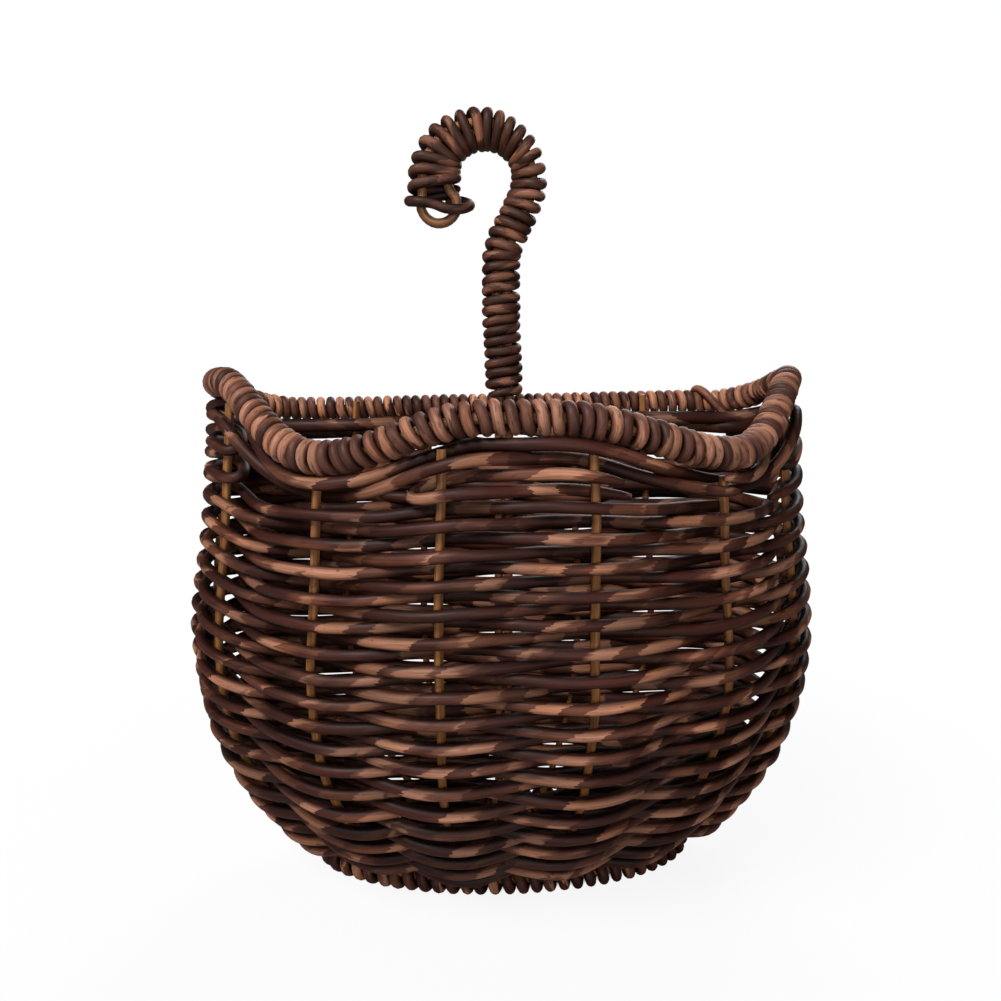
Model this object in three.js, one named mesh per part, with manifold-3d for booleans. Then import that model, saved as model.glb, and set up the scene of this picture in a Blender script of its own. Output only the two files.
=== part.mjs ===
// Rattan wall basket: a half-round basket of plain weave on upright stakes, with a scalloped
// wrapped rim, a wrapped base ring and a wrapped cane hook that rises from the back.
// Millimetres, +Z up. The flat back faces +Y, the bulging front faces -Y.
import * as THREE from "three";
import { mergeVertices } from "three/addons/utils/BufferGeometryUtils.js";
import Module from "manifold-3d";

const wasm = await Module();
wasm.setup();

// Wall, at its base, its belly and its top: how far it stands out to each side, and how far
// forward and back of its widest line
const BASE_LEVEL = 5;
const BASE_HALF_WIDTH = 85.6;
const BASE_FRONT_DEPTH = 32.7;
const BELLY_LEVEL = 130;
const BELLY_HALF_WIDTH = 137;
const BELLY_FRONT_DEPTH = 105.5;
const TOP_LEVEL = 232;
const TOP_HALF_WIDTH = 125;
const TOP_FRONT_DEPTH = 101.5;
const BACK_DEPTH = 30;
const CORNER_RADIUS = 32;

// Strands and canes, by diameter
const WEAVER = 4;
const STAKE = 3.3;
const RIM_CORE = 3.6;
const RIM_WRAP = 4;
const BASE_CORE = 3.4;
const BASE_WRAP = 3.8;
const HOOK_CANE = 4.4;
const HOOK_WRAP = 4.2;
const FLOOR_STICK = 3.3;
const FLOOR_WEAVER = 3.2;

// Room between a strand and what it passes, and between a winding and its core
const CLEARANCE = 0.4;
const WRAP_CLEARANCE = 0.75;
const END_GAP = 0.6;
const WRAP_END_GAP = 6;

// How far a straight piece of a cane may stray from its curve
const BEND_STRAY = 0.15;

// Rim: heights of the core's centre, and the stations along the rim where they lie
const CREST_HEIGHT = 227.5;
const DIP_HEIGHT = 212.3;
const EAR_HEIGHT = 237.5;
const BACK_RIM_HEIGHT = 221.5;
const CREST_STATION = 0.05;
const DIP_LEFT_STATION = 0.37;
const DIP_RIGHT_STATION = 0.45;
const EAR_LEFT_STATION = 0.71;
const EAR_RIGHT_STATION = 0.78;
const BACK_STATION = 1.45;

// Weave: whole turns from the base up, wider apart below the belly. The spiral ends past them,
// in the right dip. Short rows lie between it and the closing rows, more under the ears.
const LOWER_TURNS = 14;
const UPPER_START_HEIGHT = 97;
const UPPER_TURNS = 19;
const SEAM_STAKE = 8;
const CLOSING_PITCH = 4.6;
const STRAND_PASSES = 55;
const FLAT_HALF_LENGTH = 6;
const CREST_FILL_PASSES = 2;
const EAR_FILL_PASSES = 4;
const BACK_FILL_PASSES = 2;
const STAKE_SPACING = 56;

// Hook: one cane bent double, its two legs side by side
const HOOK_LEG_SPREAD = 2.35;
const HOOK_TIP_SPREAD = 5.6;
const HOOK_TWIST = 1.0;
const HOOK_SWAY_START = 289;
const HOOK_CURL_HEIGHT = 327.5;
const HOOK_CURL_RADIUS = 22;
const HOOK_SWAY = 13;
const HOOK_TIP_DROP = 12;

// Windings: turns of strand on each stretch
const RIM_FRONT_LOOPS = 24;
const RIM_BACK_LOOPS = 18;
const BASE_LOOPS = 24;
const HOOK_LOOPS = 24;
const LOOP_STEPS = 8;

// Floor: sticks from side to side, with one strand woven to and fro across them
const FLOOR_STICK_PLACES = [-8.5, 2.5, 13.5];
const FLOOR_PASSES = 16;
const FLOOR_WOVEN_SHARE = 0.8;

// Faces of a round section
const STRAND_SIDES = 4;
const CANE_SIDES = 5;

// Stations go once round the wall from -2 to 2: 0 is the middle of the front, 1 the widest
// point, 1 to 1.5 the back corner, and 1.5 to 2 the flat back. The hook stands at -2.
const HOOK_STATION = -2;
const STAKE_STATIONS = [
  HOOK_STATION, -1.81, -1.625, -1.04, -0.68, -0.37, -0.13, 0.13, 0.41, 0.69, 1.04, 1.625, 1.81,
];
const STAKES = STAKE_STATIONS.length;
const ROUND = 4;

// Sizes that follow from the ones above
const RIM_COIL = (RIM_CORE + RIM_WRAP) / 2 + WRAP_CLEARANCE;
const RIM_OUTER = RIM_COIL + RIM_WRAP / 2;
const BASE_COIL = (BASE_CORE + BASE_WRAP) / 2 + WRAP_CLEARANCE;
const BASE_OUTER = BASE_COIL + BASE_WRAP / 2;
const STANDING_CUT = BASE_WRAP / 10;
const BASE_CORE_HEIGHT = BASE_OUTER - STANDING_CUT;
const TURNS = LOWER_TURNS + UPPER_TURNS;
const LAST_PASS = TURNS * STAKES + SEAM_STAKE;
const RIM_TO_TOP_ROW = RIM_OUTER + WEAVER / 2 + CLEARANCE;
const HOOK_COIL = (HOOK_CANE + HOOK_WRAP) / 2 + WRAP_CLEARANCE;

// At the back the rim is lashed behind the stakes: it stands out, and the wall leans in
const BACK_LEAN = 3.6;
const LEAN_HEIGHT = 20;
const RIM_BACK_SHIFT = RIM_OUTER + HOOK_CANE / 2 + CLEARANCE - BACK_LEAN;

const UP = new THREE.Vector3(0, 0, 1);
const { clamp, lerp } = THREE.MathUtils;
const ease = (f) => (1 - Math.cos(Math.PI * clamp(f, 0, 1))) / 2;
const mod = (value, size) => ((value % size) + size) % size;
const sideOf = (pass) => (mod(pass, 2) === 0 ? 1 : -1);

// Levels that shape the wall. Those between are set as shares of the way from one to the next.
const base = { height: BASE_LEVEL, side: BASE_HALF_WIDTH, front: BASE_FRONT_DEPTH };
const belly = { height: BELLY_LEVEL, side: BELLY_HALF_WIDTH, front: BELLY_FRONT_DEPTH };
const top = { height: TOP_LEVEL, side: TOP_HALF_WIDTH, front: TOP_FRONT_DEPTH };
const between = (from, to, height, side, front) => ({
  height: lerp(from.height, to.height, height),
  side: lerp(from.side, to.side, side),
  front: lerp(from.front, to.front, front),
});
const WALL_LEVELS = [
  base,
  between(base, belly, 0.264, 0.52, 0.407),
  between(base, belly, 0.52, 0.844, 0.705),
  between(base, belly, 0.76, 0.988, 0.897),
  belly,
  between(belly, top, 0.49, 0.583, -0.125),
  top,
];

// A size of the wall at height z, on a smooth curve through the levels
function wallSize(z, key) {
  const last = WALL_LEVELS.length - 1;
  let i = 0;
  while (i < last - 1 && z > WALL_LEVELS[i + 1].height) i += 1;
  const slopeAt = (k) => {
    const below = WALL_LEVELS[Math.max(k - 1, 0)];
    const above = WALL_LEVELS[Math.min(k + 1, last)];
    return (above[key] - below[key]) / (above.height - below.height);
  };
  const from = WALL_LEVELS[i];
  const to = WALL_LEVELS[i + 1];
  const rise = to.height - from.height;
  const f = (z - from.height) / rise;
  if (f > 1) return to[key] + (z - to.height) * slopeAt(last);
  const bend = f * f * (3 - 2 * f);
  const pull = slopeAt(i) * f * (1 - f) * (1 - f) - slopeAt(i + 1) * f * f * (1 - f);
  return from[key] + (to[key] - from[key]) * bend + rise * pull;
}

// The half-round outline: an ellipse in front, a rounded corner and a straight back
function outline(station, halfWidth, front, back) {
  const s = mod(station + 2, ROUND) - 2;
  const side = s < 0 ? -1 : 1;
  const w = Math.abs(s);
  if (w <= 1) {
    const angle = (w * Math.PI) / 2;
    return new THREE.Vector3(side * halfWidth * Math.sin(angle), -front * Math.cos(angle), 0);
  }
  if (w <= 1.5) {
    const angle = (w - 1) * Math.PI;
    const x = halfWidth - CORNER_RADIUS + CORNER_RADIUS * Math.cos(angle);
    return new THREE.Vector3(side * x, back * Math.sin(angle), 0);
  }
  const x = (halfWidth - CORNER_RADIUS) * (2 - w) * 2;
  return new THREE.Vector3(side * x, back, 0);
}

// How far a station belongs to the back: 0 at the widest point, 1 along the flat back
function backness(station) {
  const w = Math.abs(mod(station + 2, ROUND) - 2);
  return ease((w - 1) / 0.5);
}

// A value that changes smoothly from crest to dip, ear and back along the rim
function scallop(station, crest, dip, ear, back) {
  const s = mod(station + 2, ROUND) - 2;
  const w = Math.abs(s);
  const dipAt = s < 0 ? DIP_LEFT_STATION : DIP_RIGHT_STATION;
  const earAt = s < 0 ? EAR_LEFT_STATION : EAR_RIGHT_STATION;
  if (w < dipAt) return lerp(crest, dip, ease((w - CREST_STATION) / (dipAt - CREST_STATION)));
  if (w < earAt) return lerp(dip, ear, ease((w - dipAt) / (earAt - dipAt)));
  return lerp(ear, back, ease((w - earAt) / (BACK_STATION - earAt)));
}

const rimHeight = (station) =>
  scallop(station, CREST_HEIGHT, DIP_HEIGHT, EAR_HEIGHT, BACK_RIM_HEIGHT);

// A point of the wall's middle surface, where the stakes' centre lines lie
function wallPoint(station, z) {
  const point = outline(station, wallSize(z, "side"), wallSize(z, "front"), BACK_DEPTH);
  const leanStart = BACK_RIM_HEIGHT - RIM_OUTER - LEAN_HEIGHT;
  point.y -= BACK_LEAN * backness(station) * ease((z - leanStart) / LEAN_HEIGHT);
  point.z = z;
  return point;
}

// The wall's directions at a point: along the row, up the stake, and outward
function wallFrame(station, z) {
  const step = 0.002;
  const along = wallPoint(station + step, z).sub(wallPoint(station - step, z)).normalize();
  const rise = wallPoint(station, z + 0.2).sub(wallPoint(station, z - 0.2)).normalize();
  const out = new THREE.Vector3().crossVectors(along, rise).normalize();
  return { along, out, up: new THREE.Vector3().crossVectors(out, along).normalize() };
}

function rimPoint(station) {
  const z = rimHeight(station);
  const back = BACK_DEPTH + RIM_BACK_SHIFT;
  const point = outline(station, wallSize(z, "side"), wallSize(z, "front"), back);
  point.z = z;
  return point;
}

// The height at a distance square to the rim's core, so that it allows for the rim's slope
function heightUnderRim(station, distance) {
  const run = rimPoint(station + 0.01).sub(rimPoint(station - 0.01));
  return rimHeight(station) - (distance * run.length()) / Math.hypot(run.x, run.y);
}

const basePoint = (station) => wallPoint(station, BASE_CORE_HEIGHT);

// The places along a curve where straight pieces must join to follow it closely
function bendPlaces(pointAt, from, to) {
  const step = (to - from) / 500;
  const places = [from];
  for (let i = 2; i <= 500; i += 1) {
    const start = places[places.length - 1];
    const end = from + i * step;
    const middle = pointAt((start + end) / 2);
    const chord = pointAt(start).lerp(pointAt(end), 0.5);
    if (middle.distanceTo(chord) > BEND_STRAY) places.push(end - step);
  }
  return [...places, to];
}

// A solid strand through rings of points. Each ring has a centre and a hint for which way is up.
function strand(rings, diameter, sides, closed = false) {
  const count = rings.length;
  const positions = [];
  const index = [];
  rings.forEach((ring, i) => {
    const before = closed ? rings[mod(i - 1, count)] : rings[Math.max(i - 1, 0)];
    const after = closed ? rings[mod(i + 1, count)] : rings[Math.min(i + 1, count - 1)];
    const tangent = after.center.clone().sub(before.center).normalize();
    const side = new THREE.Vector3().crossVectors(tangent, ring.up).normalize();
    const up = new THREE.Vector3().crossVectors(side, tangent);
    for (let k = 0; k < sides; k += 1) {
      const angle = (2 * Math.PI * k) / sides;
      const corner = ring.center.clone();
      corner.addScaledVector(up, (diameter / 2) * Math.cos(angle));
      corner.addScaledVector(side, (diameter / 2) * Math.sin(angle));
      positions.push(corner.x, corner.y, corner.z);
    }
  });
  const spans = closed ? count : count - 1;
  for (let i = 0; i < spans; i += 1) {
    const here = i * sides;
    const next = mod(i + 1, count) * sides;
    for (let k = 0; k < sides; k += 1) {
      const k2 = (k + 1) % sides;
      index.push(here + k, here + k2, next + k);
      index.push(here + k2, next + k2, next + k);
    }
  }
  if (!closed) {
    const last = (count - 1) * sides;
    for (let k = 1; k < sides - 1; k += 1) {
      index.push(0, k + 1, k);
      index.push(last, last + k, last + k + 1);
    }
  }
  const geometry = new THREE.BufferGeometry();
  geometry.setAttribute("position", new THREE.Float32BufferAttribute(positions, 3));
  geometry.setIndex(index);
  return geometry;
}

// The group is moved so that the basket's middle, front to back, is at zero
const basket = new THREE.Group();
const fullest = (belly.height + WALL_LEVELS[5].height) / 2;
const foremost = wallPoint(STAKE_STATIONS[7], fullest).y;
const frontReach = -foremost + STAKE / 2 + CLEARANCE + WEAVER;
const backReach = BACK_DEPTH + RIM_BACK_SHIFT + RIM_OUTER;
basket.position.y = (frontReach - backReach) / 2;

const finish = (color, roughness) =>
  new THREE.MeshStandardMaterial({ color, roughness, metalness: 0, flatShading: true });
const strandFinish = finish(0x6b4434, 0.45);
const stakeFinish = finish(0x9a6a30, 0.5);
const coreFinish = finish(0x8a6038, 0.5);
const hookFinish = finish(0x573a2f, 0.45);

function add(name, geometry, material) {
  const mesh = new THREE.Mesh(geometry, material);
  mesh.name = name;
  basket.add(mesh);
}

// Closed cane ring along a path of stations
function ringCane(pointAt, diameter, steps) {
  const rings = [];
  for (let i = 0; i < steps; i += 1) {
    rings.push({ center: pointAt(-2 + (ROUND * i) / steps), up: UP });
  }
  return strand(rings, diameter, CANE_SIDES, true);
}

// Least room between two turns of a winding, measured between points of its centre line
function leastGap(rings, diameter) {
  let least = Infinity;
  for (let i = 0; i < rings.length; i += 1) {
    for (let k = i + LOOP_STEPS / 2 + 1; k < rings.length; k += 1) {
      least = Math.min(least, rings[i].center.distanceTo(rings[k].center));
    }
  }
  return least - diameter;
}

// Rings of a winding: one unbroken strand round a middle line. The shape of each turn is a
// circle, widened sideways where the core is a pair of canes. Both ends run straight.
function windingRings(frameAt, loops, coil, diameter) {
  const rings = [];
  const steps = loops * LOOP_STEPS;
  for (let i = 0; i <= steps; i += 1) {
    const frame = frameAt(i / steps);
    const angle = (2 * Math.PI * i) / LOOP_STEPS;
    const across = coil * Math.cos(angle) + frame.widen * clamp(1.6 * Math.cos(angle), -1, 1);
    const radial = frame.across.clone().multiplyScalar(across);
    radial.addScaledVector(frame.depth, coil * Math.sin(angle));
    rings.push({ center: frame.middle.clone().add(radial), up: radial.normalize() });
  }
  const straightEnd = (end, inner) => {
    const direction = end.center.clone().sub(inner.center).normalize();
    return { center: end.center.clone().addScaledVector(direction, diameter), up: end.up };
  };
  const first = straightEnd(rings[0], rings[1]);
  const last = straightEnd(rings[steps], rings[steps - 1]);
  return [first, ...rings, last];
}

function addWinding(name, frameAt, loops, coil, diameter, material, trim) {
  const rings = windingRings(frameAt, loops, coil, diameter);
  console.log(name + ": least gap to itself " + leastGap(rings, diameter).toFixed(2) + " mm");
  const geometry = strand(rings, diameter, STRAND_SIDES);
  add(name, trim ? trim(geometry) : geometry, material);
}

// Places between from and to as shares of a length. The length is measured along each of the
// given sides, and the shortest counts, so that turns don't crowd on the inside of a bend.
function evenPlaces(sides, from, to, trim = 0) {
  const samples = 400;
  const lengths = [0];
  const placeAt = (i) => from + ((to - from) * i) / samples;
  for (let i = 1; i <= samples; i += 1) {
    const steps = sides.map((side) => side(placeAt(i)).distanceTo(side(placeAt(i - 1))));
    lengths.push(lengths[i - 1] + Math.min(...steps));
  }
  return (share) => {
    const wanted = lerp(trim, lengths[samples] - trim, share);
    let i = 1;
    while (i < samples && lengths[i] < wanted) i += 1;
    return placeAt(i - 1 + (wanted - lengths[i - 1]) / (lengths[i] - lengths[i - 1]));
  };
}

// Frames along a stretch of a ring, with its turns equally far apart
function stretchFrames(pointAt, from, to) {
  const placeAt = evenPlaces([pointAt], from, to, WRAP_END_GAP / 2);
  return (share) => {
    const station = placeAt(share);
    const tangent = pointAt(station + 0.004).sub(pointAt(station - 0.004)).normalize();
    const across = new THREE.Vector3().crossVectors(tangent, UP).normalize();
    const depth = new THREE.Vector3().crossVectors(tangent, across).normalize();
    return { middle: pointAt(station), across, depth, widen: 0 };
  };
}

// Base ring: a thin cane ring and its winding, cut flat where the basket stands
const manifoldOf = (geometry) => {
  const bare = new THREE.BufferGeometry();
  bare.setAttribute("position", geometry.getAttribute("position"));
  if (geometry.index) bare.setIndex(geometry.index);
  const merged = mergeVertices(bare, 1e-4);
  const triVerts = new Uint32Array(merged.index.array);
  const vertProperties = merged.attributes.position.array;
  return new wasm.Manifold(new wasm.Mesh({ numProp: 3, vertProperties, triVerts }));
};

function cutFlat(geometry) {
  const span = 4 * basePoint(1).x;
  const ground = new THREE.BoxGeometry(span, span, span).translate(0, 0, -span / 2);
  const mesh = manifoldOf(geometry).subtract(manifoldOf(ground)).getMesh();
  const cut = new THREE.BufferGeometry();
  cut.setAttribute("position", new THREE.Float32BufferAttribute(mesh.vertProperties, 3));
  cut.setIndex(Array.from(mesh.triVerts));
  return cut;
}

add("base_core", ringCane(basePoint, BASE_CORE, 40), coreFinish);
const baseFrames = stretchFrames(basePoint, -2, 2);
addWinding("base_wrap", baseFrames, BASE_LOOPS, BASE_COIL, BASE_WRAP, strandFinish, cutFlat);

// Paths of the ring and its winding, and how far down the wall a strand can come to them
const BASE_PATH = [...Array(201).keys()].map((i) => basePoint(-2 + (ROUND * i) / 200));
const BASE_WRAP_PATH = windingRings(baseFrames, BASE_LOOPS, BASE_COIL, BASE_WRAP)
  .map((ring) => ring.center);

function distanceToPath(point, path) {
  const nearest = new THREE.Vector3();
  let least = Infinity;
  for (let i = 1; i < path.length; i += 1) {
    new THREE.Line3(path[i - 1], path[i]).closestPointToPoint(point, true, nearest);
    least = Math.min(least, nearest.distanceTo(point));
  }
  return least;
}

const clearHeights = new Map();
function heightClearOf(path, distance, station) {
  const place = mod(station + 2, ROUND).toFixed(4) + " " + distance;
  if (clearHeights.has(place)) return clearHeights.get(place);
  let z = BASE_CORE_HEIGHT + 2 * BASE_OUTER;
  const clearAt = (height) => distanceToPath(wallPoint(station, height), path) > distance + CLEARANCE;
  while (z > BASE_CORE_HEIGHT && clearAt(z - 0.1)) z -= 0.1;
  clearHeights.set(place, z);
  return z;
}

// Floor: sticks inside the base ring, and one strand to and fro over and under them
const FLOOR_REACH = (FLOOR_STICK + FLOOR_WEAVER) / 2 + CLEARANCE;
const FLOOR_HEIGHT = FLOOR_REACH + FLOOR_WEAVER / 2 + WRAP_CLEARANCE;
const FLOOR_EDGE = BASE_OUTER + CLEARANCE;
const BASE_SIDE = basePoint(1).x;
const BASE_FRONT = -basePoint(0).y;

// Half-length of a stick, and how far a pass reaches to the front and the back
function halfLengthAt(y) {
  if (y < 0) {
    const f = y / (BASE_FRONT - FLOOR_EDGE);
    return (BASE_SIDE - FLOOR_EDGE) * Math.sqrt(1 - f * f);
  }
  const f = y / (BACK_DEPTH - FLOOR_EDGE);
  return BASE_SIDE - CORNER_RADIUS + (CORNER_RADIUS - FLOOR_EDGE) * Math.sqrt(1 - f * f);
}

function frontReachAt(x) {
  const f = x / (BASE_SIDE - FLOOR_EDGE);
  return -(BASE_FRONT - FLOOR_EDGE) * Math.sqrt(1 - f * f);
}

function backReachAt(x) {
  const past = Math.max(0, Math.abs(x) - (BASE_SIDE - CORNER_RADIUS));
  const f = past / (CORNER_RADIUS - FLOOR_EDGE);
  return (BACK_DEPTH - FLOOR_EDGE) * Math.sqrt(1 - f * f);
}

FLOOR_STICK_PLACES.forEach((y, i) => {
  const half = halfLengthAt(y) - FLOOR_STICK / 2;
  const ends = [-half, half].map((x) => ({ center: new THREE.Vector3(x, y, FLOOR_HEIGHT), up: UP }));
  add("floor_stick_" + (i + 1), strand(ends, FLOOR_STICK, CANE_SIDES), stakeFinish);
});

const floorRings = [];
const floorSpan = 2 * (BASE_SIDE - FLOOR_EDGE) * FLOOR_WOVEN_SHARE;
for (let pass = 0; pass < FLOOR_PASSES; pass += 1) {
  const x = -floorSpan / 2 + (floorSpan * pass) / (FLOOR_PASSES - 1);
  const away = pass % 2 === 0;
  const places = away ? FLOOR_STICK_PLACES : [...FLOOR_STICK_PLACES].reverse();
  const turnRoom = FLOOR_WEAVER / 2 + CLEARANCE;
  const front = frontReachAt(x) + turnRoom;
  const back = backReachAt(x) - turnRoom;
  const ringAt = (y, z) => ({ center: new THREE.Vector3(x, y, z), up: UP });
  floorRings.push(ringAt(away ? front : back, FLOOR_HEIGHT));
  places.forEach((y) => {
    const side = sideOf(pass + FLOOR_STICK_PLACES.indexOf(y));
    floorRings.push(ringAt(y, FLOOR_HEIGHT + side * FLOOR_REACH));
  });
  floorRings.push(ringAt(away ? back : front, FLOOR_HEIGHT));
}
add("floor_weaver", strand(floorRings, FLOOR_WEAVER, STRAND_SIDES), strandFinish);

// Stakes. Each stands on the wall's middle surface, as far down the base ring as its winding
// lets it, and up to the rim. The two long ones at the back rise in front of the rim to its top.
const LONG_STAKES = [2, 11];
const stationAt = (j) => STAKE_STATIONS[mod(j, STAKES)] + ROUND * Math.floor(j / STAKES);

for (let j = 1; j < STAKES; j += 1) {
  const station = STAKE_STATIONS[j];
  const onCore = heightClearOf(BASE_PATH, (BASE_CORE + STAKE) / 2, station);
  const offWrap = heightClearOf(BASE_WRAP_PATH, (BASE_WRAP + STAKE) / 2, station);
  const foot = Math.max(onCore, offWrap);
  const under = heightUnderRim(station, RIM_OUTER + STAKE / 2);
  const head = LONG_STAKES.includes(j) ? rimHeight(station) + RIM_OUTER / 2 : under;
  const heights = bendPlaces((z) => wallPoint(station, z), foot, head);
  const rings = heights.map((z) => ({
    center: wallPoint(station, z),
    up: wallFrame(station, z).along,
  }));
  add("stake_" + String(j).padStart(2, "0"), strand(rings, STAKE, CANE_SIDES), stakeFinish);
}

// Hook cane. One cane bent double: the outer leg climbs the back, curls over to the left, turns
// at the tip and comes back as the inner leg. Both legs end low in the wall, as its middle stake.
const HOOK_PLANE = BACK_DEPTH - BACK_LEAN;
const HOOK_FOOT = BASE_CORE_HEIGHT + BASE_OUTER + CLEARANCE;
const curlCenterX = HOOK_SWAY - HOOK_CURL_RADIUS;

// The hook's middle line, from the foot (0) over the curl (1 to 2) to the tip (3)
function hookMiddle(t) {
  if (t <= 1) {
    const z = lerp(HOOK_FOOT, HOOK_CURL_HEIGHT, t);
    const sway = (z - HOOK_SWAY_START) / (HOOK_CURL_HEIGHT - HOOK_SWAY_START);
    const x = HOOK_SWAY * ease(sway);
    const y = z < BACK_RIM_HEIGHT ? wallPoint(HOOK_STATION, z).y : HOOK_PLANE;
    return new THREE.Vector3(x, y, z);
  }
  if (t <= 2) {
    const angle = (t - 1) * Math.PI;
    const x = curlCenterX + HOOK_CURL_RADIUS * Math.cos(angle);
    return new THREE.Vector3(x, HOOK_PLANE, HOOK_CURL_HEIGHT + HOOK_CURL_RADIUS * Math.sin(angle));
  }
  const x = curlCenterX - HOOK_CURL_RADIUS + (t - 2) * (t - 2) * 2;
  return new THREE.Vector3(x, HOOK_PLANE, HOOK_CURL_HEIGHT - (t - 2) * HOOK_TIP_DROP);
}

// Where the legs lie beside the middle line: spread in the hook's plane, twisted on the sway
function hookLegs(t) {
  const step = 0.004;
  const tangent = hookMiddle(Math.min(t + step, 3)).sub(hookMiddle(Math.max(t - step, 0)));
  tangent.normalize();
  const inward = new THREE.Vector3(-tangent.z, 0, tangent.x);
  const spread = lerp(HOOK_LEG_SPREAD, HOOK_TIP_SPREAD, ease(t - 1.3));
  const twist = HOOK_TWIST * ease((t - 0.86) / 0.2) * ease((1.6 - t) / 0.4);
  const across = inward.clone().multiplyScalar(Math.cos(twist));
  across.addScaledVector(new THREE.Vector3(0, 1, 0), Math.sin(twist));
  return { tangent, inward, across, spread };
}

const hookPlaces = [0, 1, 2].flatMap((t) => bendPlaces(hookMiddle, t, t + 1).slice(t ? 1 : 0));
const outerLeg = [];
const innerLeg = [];
hookPlaces.forEach((t) => {
  const { across, spread } = hookLegs(t);
  const depth = new THREE.Vector3(0, 1, 0);
  outerLeg.push({ center: hookMiddle(t).addScaledVector(across, -spread), up: depth });
  innerLeg.push({ center: hookMiddle(t).addScaledVector(across, spread), up: depth });
});
const tipTurn = [];
for (let i = 1; i < 5; i += 1) {
  const angle = (Math.PI * i) / 5;
  const { tangent, inward, spread } = hookLegs(3);
  const center = hookMiddle(3).addScaledVector(inward, -spread * Math.cos(angle));
  center.addScaledVector(tangent, spread * Math.sin(angle));
  tipTurn.push({ center, up: new THREE.Vector3(0, 1, 0) });
}
const hookRings = [...outerLeg, ...tipTurn, ...innerLeg.reverse()];
add("hook_cane", strand(hookRings, HOOK_CANE, CANE_SIDES), coreFinish);

// Weave. Strands run in front of one stake and behind the next. With an odd number of stakes
// one spiral does this by itself: pass j lies outside the wall where j is even.
const reachPast = (j) => {
  const carried = mod(j, STAKES) === 0 ? HOOK_CANE : STAKE;
  return (carried + WEAVER) / 2 + CLEARANCE;
};

// Half the straight run of a strand past stake j. On the flat back it bends right at the stake.
function flatPast(j) {
  if (mod(j, STAKES) === 0) return HOOK_LEG_SPREAD + FLAT_HALF_LENGTH;
  return backness(stationAt(j)) === 1 ? 0 : FLAT_HALF_LENGTH;
}

// Heights at a place q along the weave, counted in stakes: the two closing rows, which keep
// their distance from the rim on its slopes, and the spiral's rows under them
function stationOf(q) {
  const whole = Math.floor(q);
  return lerp(stationAt(whole), stationAt(whole + 1), q - whole);
}

const closingHeight = (q, row) =>
  heightUnderRim(stationOf(q), RIM_TO_TOP_ROW + row * CLOSING_PITCH);

function upperPitch(q) {
  const fills = scallop(stationOf(q), CREST_FILL_PASSES, 0, EAR_FILL_PASSES, BACK_FILL_PASSES);
  const turns = LAST_PASS / STAKES - LOWER_TURNS;
  return (closingHeight(q, 1) - UPPER_START_HEIGHT) / (turns + 1 + fills);
}

function rowHeight(q) {
  const turn = q / STAKES;
  if (turn > LOWER_TURNS) return UPPER_START_HEIGHT + (turn - LOWER_TURNS) * upperPitch(q);
  const first = heightClearOf(BASE_PATH, BASE_OUTER + WEAVER / 2, stationOf(q));
  return lerp(first, UPPER_START_HEIGHT, turn / LOWER_TURNS);
}

// The ring where a strand passes stake j, a little before or after it on a straight run
function passRing(j, side, z, shift) {
  const station = stationAt(j);
  const frame = wallFrame(station, z);
  const center = wallPoint(station, z);
  center.addScaledVector(frame.out, side * reachPast(j));
  center.addScaledVector(frame.along, shift);
  return { center, up: frame.up };
}

// Rings on the way from stake j to the next: two round a back corner, else as many as asked
function betweenRings(j, side, heightOf, midway) {
  const corner = stationAt(j + 1) - stationAt(j) > 0.5;
  const parts = corner ? [0.3, 0.62] : midway;
  return parts.map((f) => {
    const station = stationOf(j + f);
    const z = heightOf(j + f);
    const frame = wallFrame(station, z);
    const offset = side * lerp(reachPast(j), -reachPast(j + 1), f);
    return { center: wallPoint(station, z).addScaledVector(frame.out, offset), up: frame.up };
  });
}

// One strand from stake pass first to last, always rising in j
function weaveRings(first, last, sideAt, heightOf, overlap, midway = []) {
  const rings = [];
  for (let j = first; j <= last; j += 1) {
    const from = j === first ? -overlap : -flatPast(j);
    const to = j === last ? overlap : flatPast(j);
    const shifts = from < to ? [from, to] : [j === last ? to : from];
    shifts.forEach((shift) => {
      rings.push(passRing(j, sideAt(j), heightOf(j + shift / STAKE_SPACING), shift));
    });
    if (j < last) rings.push(...betweenRings(j, sideAt(j), heightOf, midway));
  }
  return rings;
}

let strandNumber = 0;
for (let first = 1; first < LAST_PASS; first += STRAND_PASSES) {
  const last = Math.min(first + STRAND_PASSES, LAST_PASS);
  const rings = weaveRings(first, last, sideOf, rowHeight, -END_GAP / 2);
  strandNumber += 1;
  const name = "weaver_" + String(strandNumber).padStart(2, "0");
  add(name, strand(rings, WEAVER, STRAND_SIDES), strandFinish);
}

// Two closing rows under the rim follow its scallops. Each starts and ends on either side of
// the stake where the spiral ends.
["closing_row_upper", "closing_row_lower"].forEach((name, row) => {
  const sideAt = (j) => sideOf(j + TURNS + 1 - row);
  const heightOf = (q) => closingHeight(q, row);
  const end = SEAM_STAKE + STAKES;
  const rings = weaveRings(SEAM_STAKE, end, sideAt, heightOf, STAKE / 2, [0.33, 0.67]);
  add(name, strand(rings, WEAVER, STRAND_SIDES), strandFinish);
});

// Short rows fill the space between the last whole row and the closing rows: a strand runs to
// one side, turns round the last stake and comes back.
const lastRowHeight = (q) => rowHeight((TURNS - 1) * STAKES + q);

function fillCount(j) {
  const w = Math.abs(mod(stationAt(j) + 2, ROUND) - 2);
  if (w < DIP_LEFT_STATION) return CREST_FILL_PASSES;
  return w < BACK_STATION ? EAR_FILL_PASSES : BACK_FILL_PASSES;
}

function fillHeight(q, pass, count) {
  const low = lastRowHeight(q);
  return low + (pass * (closingHeight(q, 1) - low)) / (count + 1);
}

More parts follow.
